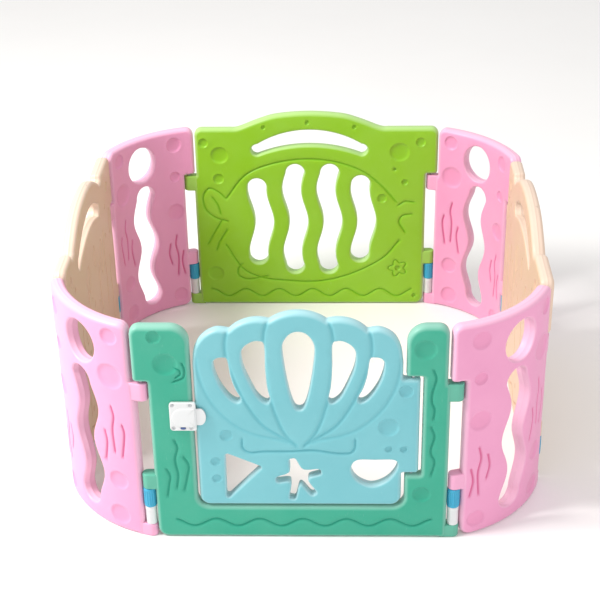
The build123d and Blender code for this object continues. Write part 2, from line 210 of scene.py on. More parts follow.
# ---------------------------------------------------------------- lines and outlines
def rounded(corners):
    """A closed outline through (x, z, radius) corners, each rounded by an arc."""
    outline = []
    for i, (x, z, radius) in enumerate(corners):
        here = np.array((x, z), float)
        if radius == 0:
            outline.append(here)
            continue
        before = np.array(corners[i - 1][:2]) - here
        after = np.array(corners[(i + 1) % len(corners)][:2]) - here
        before /= np.linalg.norm(before)
        after /= np.linalg.norm(after)
        half = math.acos(float(np.clip(before @ after, -1, 1))) / 2
        middle = before + after
        centre = here + middle / np.linalg.norm(middle) * radius / math.sin(half)
        reach = radius / math.tan(half)
        first = math.atan2(*(here + before * reach - centre)[::-1])
        last = math.atan2(*(here + after * reach - centre)[::-1])
        sweep = (last - first + math.pi) % (2 * math.pi) - math.pi
        steps = max(3, int(abs(sweep) * radius / 2.5) + 1)
        for k in range(steps + 1):
            turn = first + sweep * k / steps
            outline.append(centre + radius * np.array((math.cos(turn), math.sin(turn))))
    return np.array(outline)


def smooth(points, closed=False):
    """A smooth line through the points."""
    p = np.array(points, float)
    padded = np.vstack([p[-1:], p, p[:2]]) if closed else np.vstack([2 * p[0] - p[1], p, 2 * p[-1] - p[-2]])
    t = np.linspace(0, 1, 9)[:-1, None]
    line = []
    for a, b, c, d in zip(padded, padded[1:], padded[2:], padded[3:]):
        curve = 2 * b + (c - a) * t + (2 * a - 5 * b + 4 * c - d) * t**2 + (3 * b - a - 3 * c + d) * t**3
        line.append(0.5 * curve)
    if not closed:
        line.append(p[-1:])
    return np.vstack(line)


def resample(line, step, closed=False):
    """The same line with its points evenly spaced."""
    line = np.vstack([line, line[:1]]) if closed else np.asarray(line, float)
    gaps = np.linalg.norm(np.diff(line, axis=0), axis=1)
    line = line[np.concatenate(([True], gaps > 1e-6))]
    along = np.concatenate(([0], np.cumsum(gaps[gaps > 1e-6])))
    count = max(3, round(along[-1] / step))
    at = np.linspace(0, along[-1], count + 1)
    even = np.column_stack([np.interp(at, along, line[:, axis]) for axis in (0, 1)])
    return even[:-1] if closed else even


def signed_area(loop):
    x, z = loop.T
    return 0.5 * float(np.sum(x * np.roll(z, -1) - np.roll(x, -1) * z))


def turned_to(loop, sign):
    """The loop run anticlockwise (sign 1) or clockwise (sign -1)."""
    return loop if signed_area(loop) * sign > 0 else loop[::-1]


def arc_through(a, b, c, steps=24):
    """An arc from a through b to c."""
    a, b, c = (np.array(p, float) for p in (a, b, c))
    rows = np.array([b - a, c - a])
    centre = np.linalg.solve(2 * rows, [b @ b - a @ a, c @ c - a @ a])
    radius = np.linalg.norm(a - centre)
    turns = [math.atan2(*(p - centre)[::-1]) for p in (a, b, c)]
    sweep = (turns[2] - turns[0]) % (2 * math.pi)
    if (turns[1] - turns[0]) % (2 * math.pi) > sweep:
        sweep -= 2 * math.pi
    at = turns[0] + sweep * np.linspace(0, 1, steps + 1)
    return centre + radius * np.column_stack((np.cos(at), np.sin(at)))


def ellipse(x, z, half_wide, half_tall, steps=72):
    at = np.linspace(0, 2 * math.pi, steps, endpoint=False)
    return np.column_stack((x + half_wide * np.cos(at), z + half_tall * np.sin(at)))


def mirrored(points):
    return [(-x, z) for x, z in reversed(points)]


def wavy_slot(x, low, high, width, sway, crest, length):
    """A slot that sways sideways as it rises, furthest out at the crest's height, with round ends."""
    heights = np.linspace(low + width / 2, high - width / 2, 60)
    middles = x + sway * np.cos(2 * math.pi * (heights - crest) / length)
    half = width / 2
    turn = np.linspace(0, math.pi, 20)[1:-1]
    top = np.column_stack((middles[-1] + half * np.cos(turn), heights[-1] + half * np.sin(turn)))
    bottom = np.column_stack((middles[0] - half * np.cos(turn), heights[0] - half * np.sin(turn)))
    right = np.column_stack((middles + half, heights))
    left = np.column_stack((middles - half, heights))[::-1]
    return np.vstack([right, top, left, bottom])


def handle_slot():
    """An arched grip opening with round ends."""
    half, r, z, low, high = 158, 19, 532, 544, 597
    return np.vstack(
        [
            arc_through((-half, z - r), (0, low), (half, z - r))[:-1],
            arc_through((half, z - r), (half + r, z), (half, z + r), 12)[:-1],
            arc_through((half, z + r), (0, high), (-half, z + r))[:-1],
            arc_through((-half, z + r), (-half - r, z), (-half, z - r), 12)[:-1],
        ]
    )


def blank_corners(half, top_radius=22, top=()):
    """Corners of the stepped outline that every panel shares, anticlockwise from the bottom left."""
    left_edge, right_edge = -half + EDGE, half - EDGE
    return [
        (left_edge, 0, 25), (right_edge, 0, 5), (right_edge, STEP_Z, 4), (half - RETREAT, STEP_Z, 3),
        (half - RETREAT, SHOULDER, top_radius), *top, (-half - OVERHANG, SHOULDER, 22),
        (-half - OVERHANG, OVERHANG_Z, 8), (left_edge, OVERHANG_Z, 4),
    ]


def wave_line(x0, x1, z, amplitude, trough, period):
    """A level wave from x0 to x1, lowest at the trough."""
    x = np.linspace(x0, x1, 160)
    return np.column_stack((x, z - amplitude * np.cos(2 * math.pi * (x - trough) / period)))


# ---------------------------------------------------------------- the moulded shell
def distance_to(points, lines, closed):
    """How far each point lies from the nearest of the lines."""
    best = np.full(len(points), 1e9)
    batch = 1500
    for line in lines:
        a = line if closed else line[:-1]
        ab = (np.roll(line, -1, axis=0) if closed else line[1:]) - a
        long2 = (ab**2).sum(1) + 1e-12
        for first in range(0, len(points), batch):
            to = points[first : first + batch, None, :] - a
            t = np.clip((to * ab).sum(2) / long2, 0, 1)
            gap2 = ((to - t[..., None] * ab) ** 2).sum(2).min(1)
            best[first : first + batch] = np.minimum(best[first : first + batch], np.sqrt(gap2))
    return best


def inside(points, loops):
    """Which points lie inside the outline and outside its holes."""
    hits = np.zeros(len(points), int)
    x, z = points[:, 0, None], points[:, 1, None]
    for loop in loops:
        ax, az = loop.T
        bx, bz = np.roll(loop, -1, axis=0).T
        crosses = (az > z) != (bz > z)
        level = np.where(bz == az, 1e-9, bz - az)
        hits += (crosses & (x < ax + (z - az) / level * (bx - ax))).sum(1)
    return hits % 2 == 1


def apart(points, others, gap):
    """The points that lie at least the gap away from all the others."""
    if not len(points) or not len(others):
        return points
    tree = kdtree.KDTree(len(others))
    for i, (x, z) in enumerate(others):
        tree.insert((x, z, 0), i)
    tree.balance()
    kept = [i for i, (x, z) in enumerate(points) if tree.find((x, z, 0))[2] >= gap]
    return points[kept]


def sideways(line):
    """Unit normals along an open line."""
    run = np.gradient(line, axis=0)
    run /= np.linalg.norm(run, axis=1)[:, None] + 1e-12
    return np.column_stack((-run[:, 1], run[:, 0]))


def loop_inwards(loop):
    """Unit normals of a closed loop, to its left: into an anticlockwise loop, out of a clockwise one."""
    run = np.roll(loop, -1, axis=0) - np.roll(loop, 1, axis=0)
    return np.column_stack((-run[:, 1], run[:, 0])) / (np.linalg.norm(run, axis=1)[:, None] + 1e-12)


class Relief:
    """The sunk lines and round hollows of one face pattern."""

    def __init__(self):
        self.grooves = []
        self.dimples = []

    def groove(self, points, width=8.0, depth=1.0, closed=False):
        line = smooth(points, closed)
        if closed:
            line = np.vstack([line, line[:1]])
        self.grooves.append((resample(line, 3.0), width / 2, depth))

    def dimple(self, x, z, radius, depth=1.0, tint=0.15):
        self.dimples.append((x, z, radius, depth, tint))

    def mesh_points(self):
        """Points that follow the relief, so that the mesh bends where the relief does."""
        rows = []
        for line, half, _ in self.grooves:
            normal = sideways(line)
            for part in (0, -0.45, 0.45, -0.85, 0.85, -1.35, 1.35):
                rows.append(line + normal * half * part)
        for x, z, radius, *_ in self.dimples:
            rows.append(np.array([(x, z)]))
            for part in (0.3, 0.6, 0.8, 0.92, 1.0, 1.1, 1.25):
                steps = max(8, round(2 * math.pi * radius * part / 3.2))
                rows.append(ellipse(x, z, radius * part, radius * part, steps))
        return rows

    def depth_at(self, points, groove_depth, dimple_depth):
        """How far the face is sunk at each point, its raised lip, and the share of the darker relief colour,
        which is partly painted shade in the hollows.
        """
        sunk = np.zeros(len(points))
        tint = np.zeros(len(points))
        lip = np.zeros(len(points))
        for line, half, depth in self.grooves:
            low, high = line.min(0) - 2 * half, line.max(0) + 2 * half
            near = np.where(((points > low) & (points < high)).all(1))[0]
            if not len(near):
                continue
            t = distance_to(points[near], [line], False) / half
            bowl = np.where(t < 1, np.cos(np.clip(t, 0, 1) * math.pi / 2) ** 1.4, 0)
            sunk[near] = np.maximum(sunk[near], bowl * depth * groove_depth)
            tint[near] = np.maximum(tint[near], bowl * depth)
            lip[near] = np.maximum(lip[near], 0.35 * np.exp(-((t - 1.2) / 0.22) ** 2))
        for x, z, radius, depth, share in self.dimples:
            t = np.hypot(points[:, 0] - x, points[:, 1] - z) / radius
            bowl = np.where(t < 1, 1 - np.clip(t, 0, 1) ** 7, 0)
            sunk = np.maximum(sunk, bowl * depth * dimple_depth)
            tint = np.maximum(tint, bowl * share)
            lip = np.maximum(lip, 0.6 * np.exp(-((t - 1.06) * radius / 1.6) ** 2))
        return sunk, lip * (sunk < 0.1), tint


class Shell:
    """Vertices as (x, out, z) in millimetres, with faces and two shares for the colour: the darker relief colour,
    partly painted shade, and the painted highlight of the rolled edges.
    """

    def __init__(self):
        self.verts = np.zeros((0, 3))
        self.shares = np.zeros((0, 2))
        self.faces = []

    def add(self, verts, faces, shares=None):
        start = len(self.verts)
        shares = np.zeros((len(verts), 2)) if shares is None else shares
        self.verts = np.vstack([self.verts, verts])
        self.shares = np.vstack([self.shares, shares])
        self.faces += [tuple(start + i for i in face) for face in faces]


def roll_offsets(roll):
    return [roll * (1 - math.cos(math.radians(turn))) for turn in (16, 32, 48, 62, 76, 90)]


def rolled_off(depth, roll):
    """How far below the flat face a rolled edge lies, at each distance in from the edge."""
    return roll - np.sqrt(np.maximum(roll**2 - (roll - np.clip(depth, 0, roll)) ** 2, 0))


def skin_points(loops, rolls, relief, step, edge_step):
    """Boundary points, rows that follow the rolled edge and the relief, and an even field between."""
    edge = np.vstack(loops)
    rows = []
    for loop, roll in zip(loops, rolls):
        inwards = loop_inwards(loop)
        for offset in roll_offsets(roll):
            row = loop + inwards * offset
            rows.append((row, offset))
    kept = edge
    for row, offset in rows:
        clear = distance_to(row, loops, True) > offset * 0.985 - 0.02
        row = row[clear & inside(row, loops)]
        kept = np.vstack([kept, apart(row, kept[len(edge) :], min(1.6, 0.35 * edge_step + 0.1 * offset))])
    for row in relief.mesh_points():
        row = row[inside(row, loops)]
        row = row[distance_to(row, loops, True) > 1.2]
        kept = np.vstack([kept, apart(row, kept, 1.15)])
    low, high = edge.min(0), edge.max(0)
    grid = []
    for j, z in enumerate(np.arange(low[1], high[1], step * 0.866)):
        xs = np.arange(low[0] + (step / 2 if j % 2 else 0), high[0], step)
        grid.append(np.column_stack((xs, np.full(len(xs), z))))
    field = np.vstack(grid)
    field = field[inside(field, loops)]
    return np.vstack([kept, apart(field, kept, 0.62 * step)])


def triangulated(points, loops):
    """Points and anticlockwise triangles that fill the outline and leave its holes open."""
    edges, first = [], 0
    for loop in loops:
        edges += [(first + i, first + (i + 1) % len(loop)) for i in range(len(loop))]
        first += len(loop)
    flat, _, triangles, *_ = delaunay_2d_cdt([Vector(p) for p in points], edges, [], 0, 1e-4)
    flat = np.array([tuple(p) for p in flat])
    triangles = np.array([t for t in triangles if len(t) == 3])
    triangles = triangles[inside(flat[triangles].mean(1), loops)]
    corners = flat[triangles]
    spin = np.cross(corners[:, 1] - corners[:, 0], corners[:, 2] - corners[:, 0])
    triangles[spin < 0] = triangles[spin < 0][:, ::-1]
    used, renumbered = np.unique(triangles, return_inverse=True)
    return flat[used], renumbered.reshape(-1, 3)


def rim_edges(triangles):
    """The directed edges that belong to one triangle only."""
    both = {(int(a), int(b)) for t in triangles for a, b in ((t[0], t[1]), (t[1], t[2]), (t[2], t[0]))}
    return [(a, b) for a, b in both if (b, a) not in both]


def moulded_slab(shell, outline, holes, relief, half_thick, roll, mould):
    """Add a hollow-moulded slab: two faces with relief, rolled edges and a parting line between them."""
    edge_step = mould.edge_step / MM
    loops = [resample(turned_to(outline, 1), edge_step, True)]
    loops += [resample(turned_to(hole, -1), edge_step, True) for hole in holes]
    opening_roll = mould.opening_roll / MM
    rolls = [roll] + [opening_roll] * len(holes)
    points = skin_points(loops, rolls, relief, mould.skin_step / MM, edge_step)
    flat, triangles = triangulated(points, loops)

    from_outline, from_holes = distance_to(flat, loops[:1], True), distance_to(flat, loops[1:], True)
    height = half_thick - np.maximum(rolled_off(from_outline, roll), rolled_off(from_holes, opening_roll))
    away = np.clip(np.minimum(from_outline / roll, from_holes / opening_roll), 0, 1)
    sunk, lip, tint = relief.depth_at(flat, mould.groove_depth / MM, mould.dimple_depth / MM)
    x, z = flat.T
    swell = np.sin(x / 61 + 0.7) * np.cos(z / 47 + 0.3) + 0.6 * np.sin(z / 29 - x / 83)
    relief_height = (lip - sunk) * np.clip(away * 1.3, 0, 1) + mould.wave / MM * swell * away
    height = height + relief_height
    # Colour shares: the darker relief colour, partly painted shade in the recesses, and the painted highlight,
    # strongest on the rolled edges.
    shares = np.column_stack((np.clip(tint * away, 0, 1), 1 - away))

    count = len(flat)
    rim = rim_edges(triangles)
    rim_verts = sorted({a for a, _ in rim})
    outwards = {a: np.zeros(2) for a in rim_verts}
    for a, b in rim:
        run = flat[b] - flat[a]
        normal = np.array((run[1], -run[0])) / (np.linalg.norm(run) + 1e-12)
        outwards[a] += normal
        outwards[b] += normal
    place = {a: i for i, a in enumerate(rim_verts)}
    base = np.array([flat[a] for a in rim_verts])
    push = np.array([outwards[a] / (np.linalg.norm(outwards[a]) + 1e-12) for a in rim_verts])
    ridge = mould.parting_line / MM
    ridge_rows = [(0.9, 0.0), (0.35, ridge), (-0.35, ridge), (-0.9, 0.0)]

    verts = [np.column_stack((x, height, z)), np.column_stack((x, -height, z))]
    for out, proud in ridge_rows:
        spot = base + push * proud
        verts.append(np.column_stack((spot[:, 0], np.full(len(spot), out), spot[:, 1])))
    faces = [tuple(t) for t in triangles.tolist()]
    faces += [(c + count, b + count, a + count) for a, b, c in triangles.tolist()]

    def row_index(row, a):
        if row == 0:
            return a
        if row == len(ridge_rows) + 1:
            return a + count
        return 2 * count + (row - 1) * len(rim_verts) + place[a]

    for a, b in rim:
        for row in range(len(ridge_rows) + 1):
            quad = (row_index(row, b), row_index(row, a), row_index(row + 1, a), row_index(row + 1, b))
            faces.append(quad)
    # The side walls take the full painted highlight.
    rim_highlight_shares = np.tile((0.0, 1.0), (len(rim_verts) * len(ridge_rows), 1))
    shell.add(np.vstack(verts), faces, np.vstack([shares, shares, rim_highlight_shares]))


def capped_rings(levels, count):
    """Faces of a closed solid made of stacked rings of vertices."""
    faces = []
    for row in range(levels - 1):
        for i in range(count):
            j = (i + 1) % count
            faces.append((row * count + i, row * count + j, (row + 1) * count + j, (row + 1) * count + i))
    faces.append(tuple(reversed(range(count))))
    faces.append(tuple(range((levels - 1) * count, levels * count)))
    return faces


def rounded_post(shell, outline, low, high, roll, rim=0.35):
    """Add an upright closed solid with a convex plan outline and rolled top and bottom edges."""
    loop = resample(turned_to(np.asarray(outline, float), 1), 2.2, True)
    inwards = loop_inwards(loop)
    turns = [math.radians(t) for t in (0, 25, 50, 72, 90)]
    rows = [(roll * (1 - math.sin(t)), low + roll * (1 - math.cos(t))) for t in turns]
    rows += [(offset, low + high - z) for offset, z in reversed(rows)]
    count, verts = len(loop), []
    for offset, z in rows:
        ring = loop + inwards * offset
        verts.append(np.column_stack((ring[:, 0], -ring[:, 1], np.full(count, z))))
    faces = capped_rings(len(rows), count)
    # The whole post takes the same share of painted highlight.
    shell.add(np.vstack(verts), faces, np.tile((0.0, rim), (len(rows) * count, 1)))


def tab_outline(pin_x, inwards):
    """Plan of a knuckle round the pin with its block into the panel; inwards is 1 or -1."""
    turn = np.linspace(math.pi / 2, 3 * math.pi / 2, 22)
    nose = np.column_stack((TAB_R * np.cos(turn), TAB_R * np.sin(turn)))
    block = np.array([(TAB_REACH, -TAB_R), (TAB_REACH, TAB_R)])
    plan = np.vstack([nose, block])
    return plan * (inwards, inwards) + (pin_x, 0)


def add_tabs(shell, half):
    """The knuckles at both ends of a panel."""
    rounded_post(shell, tab_outline(-half, 1), *LOWER_TAB, 3.2)
    rounded_post(shell, tab_outline(half, -1), *UPPER_TAB, 3.2)
    rounded_post(shell, tab_outline(half, -1), *FOOT, 3.2)


def flat_place(quarter):
    """Turns a flat panel's own (x, out, z) to its side of the ring, in metres."""
    cos, sin = math.cos(math.pi / 2 * quarter), math.sin(math.pi / 2 * quarter)

    def place(verts):
        x, y = verts[:, 0], -RING_HALF - verts[:, 1]
        return np.column_stack((x * cos - y * sin, x * sin + y * cos, verts[:, 2])) * MM

    return place


def corner_place(index):
    """Bends a corner panel's own (x, out, z) round its arc and turns it to its corner, in metres."""
    turn = math.pi / 4 + math.pi / 2 * index
    cos, sin = math.cos(turn), math.sin(turn)
    arc_y = CORNER_R * math.cos(CORNER_HALF_SWEEP)

    def place(verts):
        angle = verts[:, 0] / CORNER_R
        reach = CORNER_R + verts[:, 1]
        x, y = reach * np.sin(angle), -CHORD_OUT + arc_y - reach * np.cos(angle)
        return np.column_stack((x * cos - y * sin, x * sin + y * cos, verts[:, 2])) * MM

    return place


def piece_from(name, shell, place, material, body, replaced):
    """Make a Blender object of the shell, ride it on its body and hide the frame parts it stands in for."""
    mesh = bpy.data.meshes.new(name)
    mesh.from_pydata(place(shell.verts).tolist(), [], shell.faces)
    for label, values in zip(("sunk", "rim"), shell.shares.T):
        layer = mesh.attributes.new(label, "FLOAT", "POINT")
        layer.data.foreach_set("value", np.ascontiguousarray(values, dtype=np.float32))
    mesh.polygons.foreach_set("use_smooth", [True] * len(mesh.polygons))
    mesh.validate()
    mesh.materials.append(material)
    piece = bpy.data.objects.new(name, mesh)
    bpy.context.scene.collection.objects.link(piece)
    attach(piece, body)
    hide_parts(*replaced)
    return piece


# ---------------------------------------------------------------- materials
def new_group(name, inputs, outputs):
    """A shader node group with named sockets: inputs as (name, kind, default), outputs as (name, kind)."""
    group = bpy.data.node_groups.new(name, "ShaderNodeTree")
    for label, kind, default in inputs:
        socket = group.interface.new_socket(name=label, in_out="INPUT", socket_type=f"NodeSocket{kind}")
        socket.default_value = default
    for label, kind in outputs:
        group.interface.new_socket(name=label, in_out="OUTPUT", socket_type=f"NodeSocket{kind}")
    start, end = group.nodes.new("NodeGroupInput"), group.nodes.new("NodeGroupOutput")
    start.location, end.location = (-900, 0), (700, 0)
    return group, start, end


def add_node(tree, kind, place, **values):
    """A node at a place, with its settings, or its input values where the name is a socket's."""
    node = tree.nodes.new(kind)
    node.location = place
    for label, value in values.items():
        if hasattr(node, label):
            setattr(node, label, value)
        else:
            node.inputs[label.replace("_", " ").title()].default_value = value
    return node


def add_math(tree, operation, place, first, second):
    """A maths node whose two inputs are sockets or numbers."""
    node = add_node(tree, "ShaderNodeMath", place, operation=operation)
    for socket, value in zip(node.inputs, (first, second)):
        if isinstance(value, (int, float)):
            socket.default_value = value
        else:
            tree.links.new(value, socket)
    return node.outputs[0]


def add_mix(tree, place, share_from, first, second, blend="MIX"):
    """A colour mix of two colour sockets or colours."""
    node = add_node(tree, "ShaderNodeMix", place, data_type="RGBA", blend_type=blend)
    for socket, value in ((node.inputs[0], share_from), (node.inputs[6], first), (node.inputs[7], second)):
        if isinstance(value, (int, float, tuple)):
            socket.default_value = value
        else:
            tree.links.new(value, socket)
    return node.outputs[2]


def add_noise(tree, place, scale, detail=3.0, roughness=0.55, vector=None):
    """Noise in the object's own space."""
    node = add_node(tree, "ShaderNodeTexNoise", place)
    node.inputs["Scale"].default_value = scale
    node.inputs["Detail"].default_value = detail
    node.inputs["Roughness"].default_value = roughness
    tree.links.new(vector, node.inputs["Vector"])
    return node.outputs["Fac"]


def add_range(tree, place, value, low, high, to_low=0.0, to_high=1.0):
    node = add_node(tree, "ShaderNodeMapRange", place)
    tree.links.new(value, node.inputs["Value"])
    for label, number in (("From Min", low), ("From Max", high), ("To Min", to_low), ("To Max", to_high)):
        node.inputs[label].default_value = number
    return node.outputs["Result"]


def moulded_skin_group():
    """Blow-moulded plastic: cloudy colour, a darker colour in the relief that is partly painted shade in the
    recesses, a painted highlight that makes the rolled edges paler, and a fine grain.
    """
    group, start, end = new_group(
        "Moulded Skin",
        [("Colour", "Color", (0.5, 0.5, 0.5, 1)), ("Deep Colour", "Color", (0.3, 0.3, 0.3, 1)),
         ("Cloud", "Float", 0.5), ("Roughness", "Float", 0.4), ("Grain", "Float", 0.5)],
        [("Colour", "Color"), ("Roughness", "Float"), ("Height", "Float")],
    )
    tree, ins, outs = group, start.outputs, end.inputs
    space = add_node(tree, "ShaderNodeTexCoord", (-900, -400)).outputs["Object"]
    # The sunk share mixes in the darker relief colour: partly painted shade in the recesses, partly the plastic's
    # deeper tone there.
    sunk = add_node(tree, "ShaderNodeAttribute", (-900, 300), attribute_name="sunk").outputs["Fac"]
    # The rim share is a painted highlight on the rolled edges.
    rim = add_node(tree, "ShaderNodeAttribute", (-900, 150), attribute_name="rim").outputs["Fac"]
    cloud = add_noise(tree, (-650, -200), 7.0, 4.0, 0.6, space)
    fine = add_noise(tree, (-650, -400), 420.0, 2.0, 0.5, space)
    peel = add_noise(tree, (-650, -600), 95.0, 2.0, 0.5, space)
    shade = add_range(tree, (-450, -200), cloud, 0.3, 0.7, -0.5, 0.5)
    darker = add_mix(tree, (-250, 100), 1.0, ins["Colour"], (0.80, 0.80, 0.82, 1), "MULTIPLY")
    lighter = add_mix(tree, (-250, -60), 0.16, ins["Colour"], (1, 1, 1, 1))
    cloud_share = add_math(tree, "MULTIPLY_ADD", (-250, -250), shade, ins["Cloud"])
    tree.nodes[-1].inputs[2].default_value = 0.5
    clouded = add_mix(tree, (-50, 60), cloud_share, darker, lighter)
    based = add_mix(tree, (130, 100), 0.72, clouded, ins["Colour"])
    # Painted highlight: white mixed in by the rim share makes the rolled edges paler.
    rolled = add_mix(tree, (300, 120), add_math(tree, "MULTIPLY", (130, -60), rim, 0.20), based, (1, 1, 1, 1))
    # Darker relief colour, partly painted shade in the recesses.
    deep = add_math(tree, "MULTIPLY", (130, 320), sunk, 0.92)
    tree.links.new(add_mix(tree, (480, 160), deep, rolled, ins["Deep Colour"]), outs["Colour"])
    vary = add_range(tree, (-250, -450), cloud, 0.3, 0.7, -0.05, 0.06)
    tree.links.new(add_math(tree, "ADD", (130, -300), ins["Roughness"], vary), outs["Roughness"])
    grain = add_math(tree, "MULTIPLY", (-250, -600), fine, 0.35)
    total = add_math(tree, "ADD", (-50, -600), grain, peel)
    tree.links.new(add_math(tree, "MULTIPLY", (130, -600), total, ins["Grain"]), outs["Height"])
    return group


def handling_wear_group():
    """Handling marks: faint pale scuffs and a duller skin where hands and toys rub."""
    group, start, end = new_group(
        "Handling Wear",
        [("Colour", "Color", (0.5, 0.5, 0.5, 1)), ("Roughness", "Float", 0.4), ("Amount", "Float", 0.3)],
        [("Colour", "Color"), ("Roughness", "Float"), ("Mask", "Float")],
    )
    tree, ins, outs = group, start.outputs, end.inputs
    space = add_node(tree, "ShaderNodeTexCoord", (-900, -200)).outputs["Object"]
    stretched = add_node(tree, "ShaderNodeMapping", (-700, -300))
    stretched.inputs["Scale"].default_value = (1.0, 1.0, 0.22)
    stretched.inputs["Rotation"].default_value = (0.5, 0.35, 0.2)
    tree.links.new(space, stretched.inputs["Vector"])
    scratch = add_noise(tree, (-500, -300), 260.0, 3.0, 0.6, stretched.outputs[0])
    patch = add_noise(tree, (-500, -100), 9.0, 3.0, 0.5, space)
    lines = add_range(tree, (-300, -300), scratch, 0.63, 0.72)
    patches = add_range(tree, (-300, -100), patch, 0.48, 0.66)
    mask = add_math(tree, "MULTIPLY", (-100, -200), lines, patches)
    mask = add_math(tree, "MULTIPLY", (60, -200), mask, ins["Amount"])
    tree.links.new(add_mix(tree, (300, 60), mask, ins["Colour"], (0.93, 0.93, 0.92, 1)), outs["Colour"])
    rough = add_math(tree, "MULTIPLY", (220, -200), mask, 0.35)
    tree.links.new(add_math(tree, "ADD", (400, -200), ins["Roughness"], rough), outs["Roughness"])
    tree.links.new(mask, outs["Mask"])
    return group


def effect_group(name):
    """The named effect, built the first time it is asked for."""
    makers = {"Moulded Skin": moulded_skin_group, "Handling Wear": handling_wear_group}
    return bpy.data.node_groups.get(name) or makers[name]()


def linear_rgba(value):
    return (*value[:3], 1.0)


def place_group(tree, name, place, **values):
    node = tree.nodes.new("ShaderNodeGroup")
    node.node_tree = effect_group(name)
    node.location = place
    for label, value in values.items():
        node.inputs[label.replace("_", " ")].default_value = value
    return node


def fresh_material(name):
    """A new material with only its output and a Principled shader."""
    material = bpy.data.materials.new(name)
    material.use_nodes = True
    tree = material.node_tree
    shader = tree.nodes["Principled BSDF"]
    return material, tree, shader


def moulded_plastic(name, base, deep, cloud=0.5, roughness=0.38, grain=0.5, wear=0.04, grain_height=0.00016):
    """Moulded plastic in one colour, with a darker colour for the relief that is partly painted shade in the
    recesses and partly the plastic's deeper tone.
    """
    known = bpy.data.materials.get(name)
    if known:
        return known
    material, tree, shader = fresh_material(name)
    skin = place_group(
        tree, "Moulded Skin", (-700, 100), Colour=linear_rgba(base), Deep_Colour=linear_rgba(deep),
        Cloud=cloud, Roughness=roughness, Grain=grain,
    )
    worn = place_group(tree, "Handling Wear", (-450, 100), Amount=wear)
    bump = add_node(tree, "ShaderNodeBump", (-250, -250))
    bump.inputs["Distance"].default_value = grain_height
    bump.inputs["Strength"].default_value = 0.7
    links = tree.links
    links.new(skin.outputs["Colour"], worn.inputs["Colour"])
    links.new(skin.outputs["Roughness"], worn.inputs["Roughness"])
    links.new(skin.outputs["Height"], bump.inputs["Height"])
    links.new(worn.outputs["Colour"], shader.inputs["Base Color"])
    links.new(worn.outputs["Roughness"], shader.inputs["Roughness"])
    links.new(bump.outputs["Normal"], shader.inputs["Normal"])
    shader.inputs["Specular IOR Level"].default_value = 0.30
    return material


# The darker relief colour: partly painted shade in the recesses, partly the plastic's deeper tone there.
def deeper(base, share, pull=(1.0, 1.0, 1.0)):
    return tuple(channel * share * tint for channel, tint in zip(base, pull))


def sea_green_plastic():
    base = bpy.context.scene.playpen_colours.gate
    return moulded_plastic("Sea green plastic", base, deeper(base, 0.78, (0.55, 1.0, 1.02)))


def sky_blue_plastic():
    base = bpy.context.scene.playpen_colours.door
    return moulded_plastic("Sky blue plastic", base, deeper(base, 0.88, (0.80, 1.0, 1.03)))


def lime_plastic():
    base = bpy.context.scene.playpen_colours.back
    return moulded_plastic("Lime plastic", base, deeper(base, 0.80, (0.80, 1.0, 1.0)))


def pink_plastic():
    base = bpy.context.scene.playpen_colours.corner
    return moulded_plastic("Pink plastic", base, deeper(base, 0.80, (1.0, 0.42, 0.62)))


def beige_plastic():
    base = bpy.context.scene.playpen_colours.side
    return moulded_plastic("Beige plastic", base, deeper(base, 0.80, (1.0, 0.80, 0.74)))


def ring_plastic():
    base = bpy.context.scene.playpen_colours.ring
    return moulded_plastic("Blue ring plastic", base, deeper(base, 0.6), 0.3, 0.34, 0.4, 0.2)


def fitting_plastic():
    base = bpy.context.scene.playpen_colours.fitting
    return moulded_plastic("White fitting plastic", base, deeper(base, 0.8), 0.25, 0.33, 0.3, 0.25)


def button_plastic():
    base = bpy.context.scene.playpen_colours.button
    return moulded_plastic("Button plastic", base, deeper(base, 0.7), 0.3, 0.36, 0.4, 0.2)


def plated_steel():
    """Zinc-plated steel with drawn streaks."""
    known = bpy.data.materials.get("Plated steel")
    if known:
        return known
    material, tree, shader = fresh_material("Plated steel")
    space = add_node(tree, "ShaderNodeTexCoord", (-1100, 0)).outputs["Object"]
    drawn = add_node(tree, "ShaderNodeMapping", (-900, 0))
    drawn.inputs["Scale"].default_value = (1.0, 1.0, 0.06)
    tree.links.new(space, drawn.inputs["Vector"])
    streak = add_noise(tree, (-700, 0), 900.0, 3.0, 0.6, drawn.outputs[0])
    cloud = add_noise(tree, (-700, -220), 120.0, 3.0, 0.6, space)
    dull = add_mix(tree, (-300, 200), add_range(tree, (-500, 200), cloud, 0.35, 0.7),
                   linear_rgba(bpy.context.scene.playpen_colours.steel), (0.40, 0.41, 0.44, 1))
    tree.links.new(dull, shader.inputs["Base Color"])
    tree.links.new(add_range(tree, (-500, 0), streak, 0.3, 0.7, 0.24, 0.46), shader.inputs["Roughness"])
    bump = add_node(tree, "ShaderNodeBump", (-300, -250))
    bump.inputs["Distance"].default_value = 0.00005
    tree.links.new(streak, bump.inputs["Height"])
    tree.links.new(bump.outputs["Normal"], shader.inputs["Normal"])
    shader.inputs["Metallic"].default_value = 1.0
    return material


# ---------------------------------------------------------------- relief patterns
def gate_relief():
    """Seaweed strands and bubbles on the posts, and one long wave on the bottom rail."""
    relief = Relief()
    strands = [
        [(-300, 285), (-295, 266), (-302, 238), (-301, 215), (-297, 187), (-302, 151)],
        [(-281, 239), (-270, 215), (-274, 187), (-283, 146)],
        [(-324, 203), (-317, 182), (-321, 158), (-326, 127)],
        [(314, 483), (320, 461), (312, 426), (311, 399), (318, 377), (316, 352)],
        [(312, 325), (320, 300), (313, 268), (313, 249), (322, 226), (315, 191)],
    ]
    for strand in strands:
        relief.groove(strand, 9)
    relief.groove(wave_line(-306, 316, 45, 10.5, -264, 107), 9)
    for x, z, radius in ((-333, 575, 17), (-310, 502, 29), (294, 541, 26), (293, 132, 22)):
        relief.dimple(x, z, radius)
    relief.groove([(-289, 491), (-278, 485), (-277, 474), (-288, 465)], 6)
    relief.groove([(-271, 504), (-266, 487), (-270, 465), (-293, 454)], 7)
    return relief


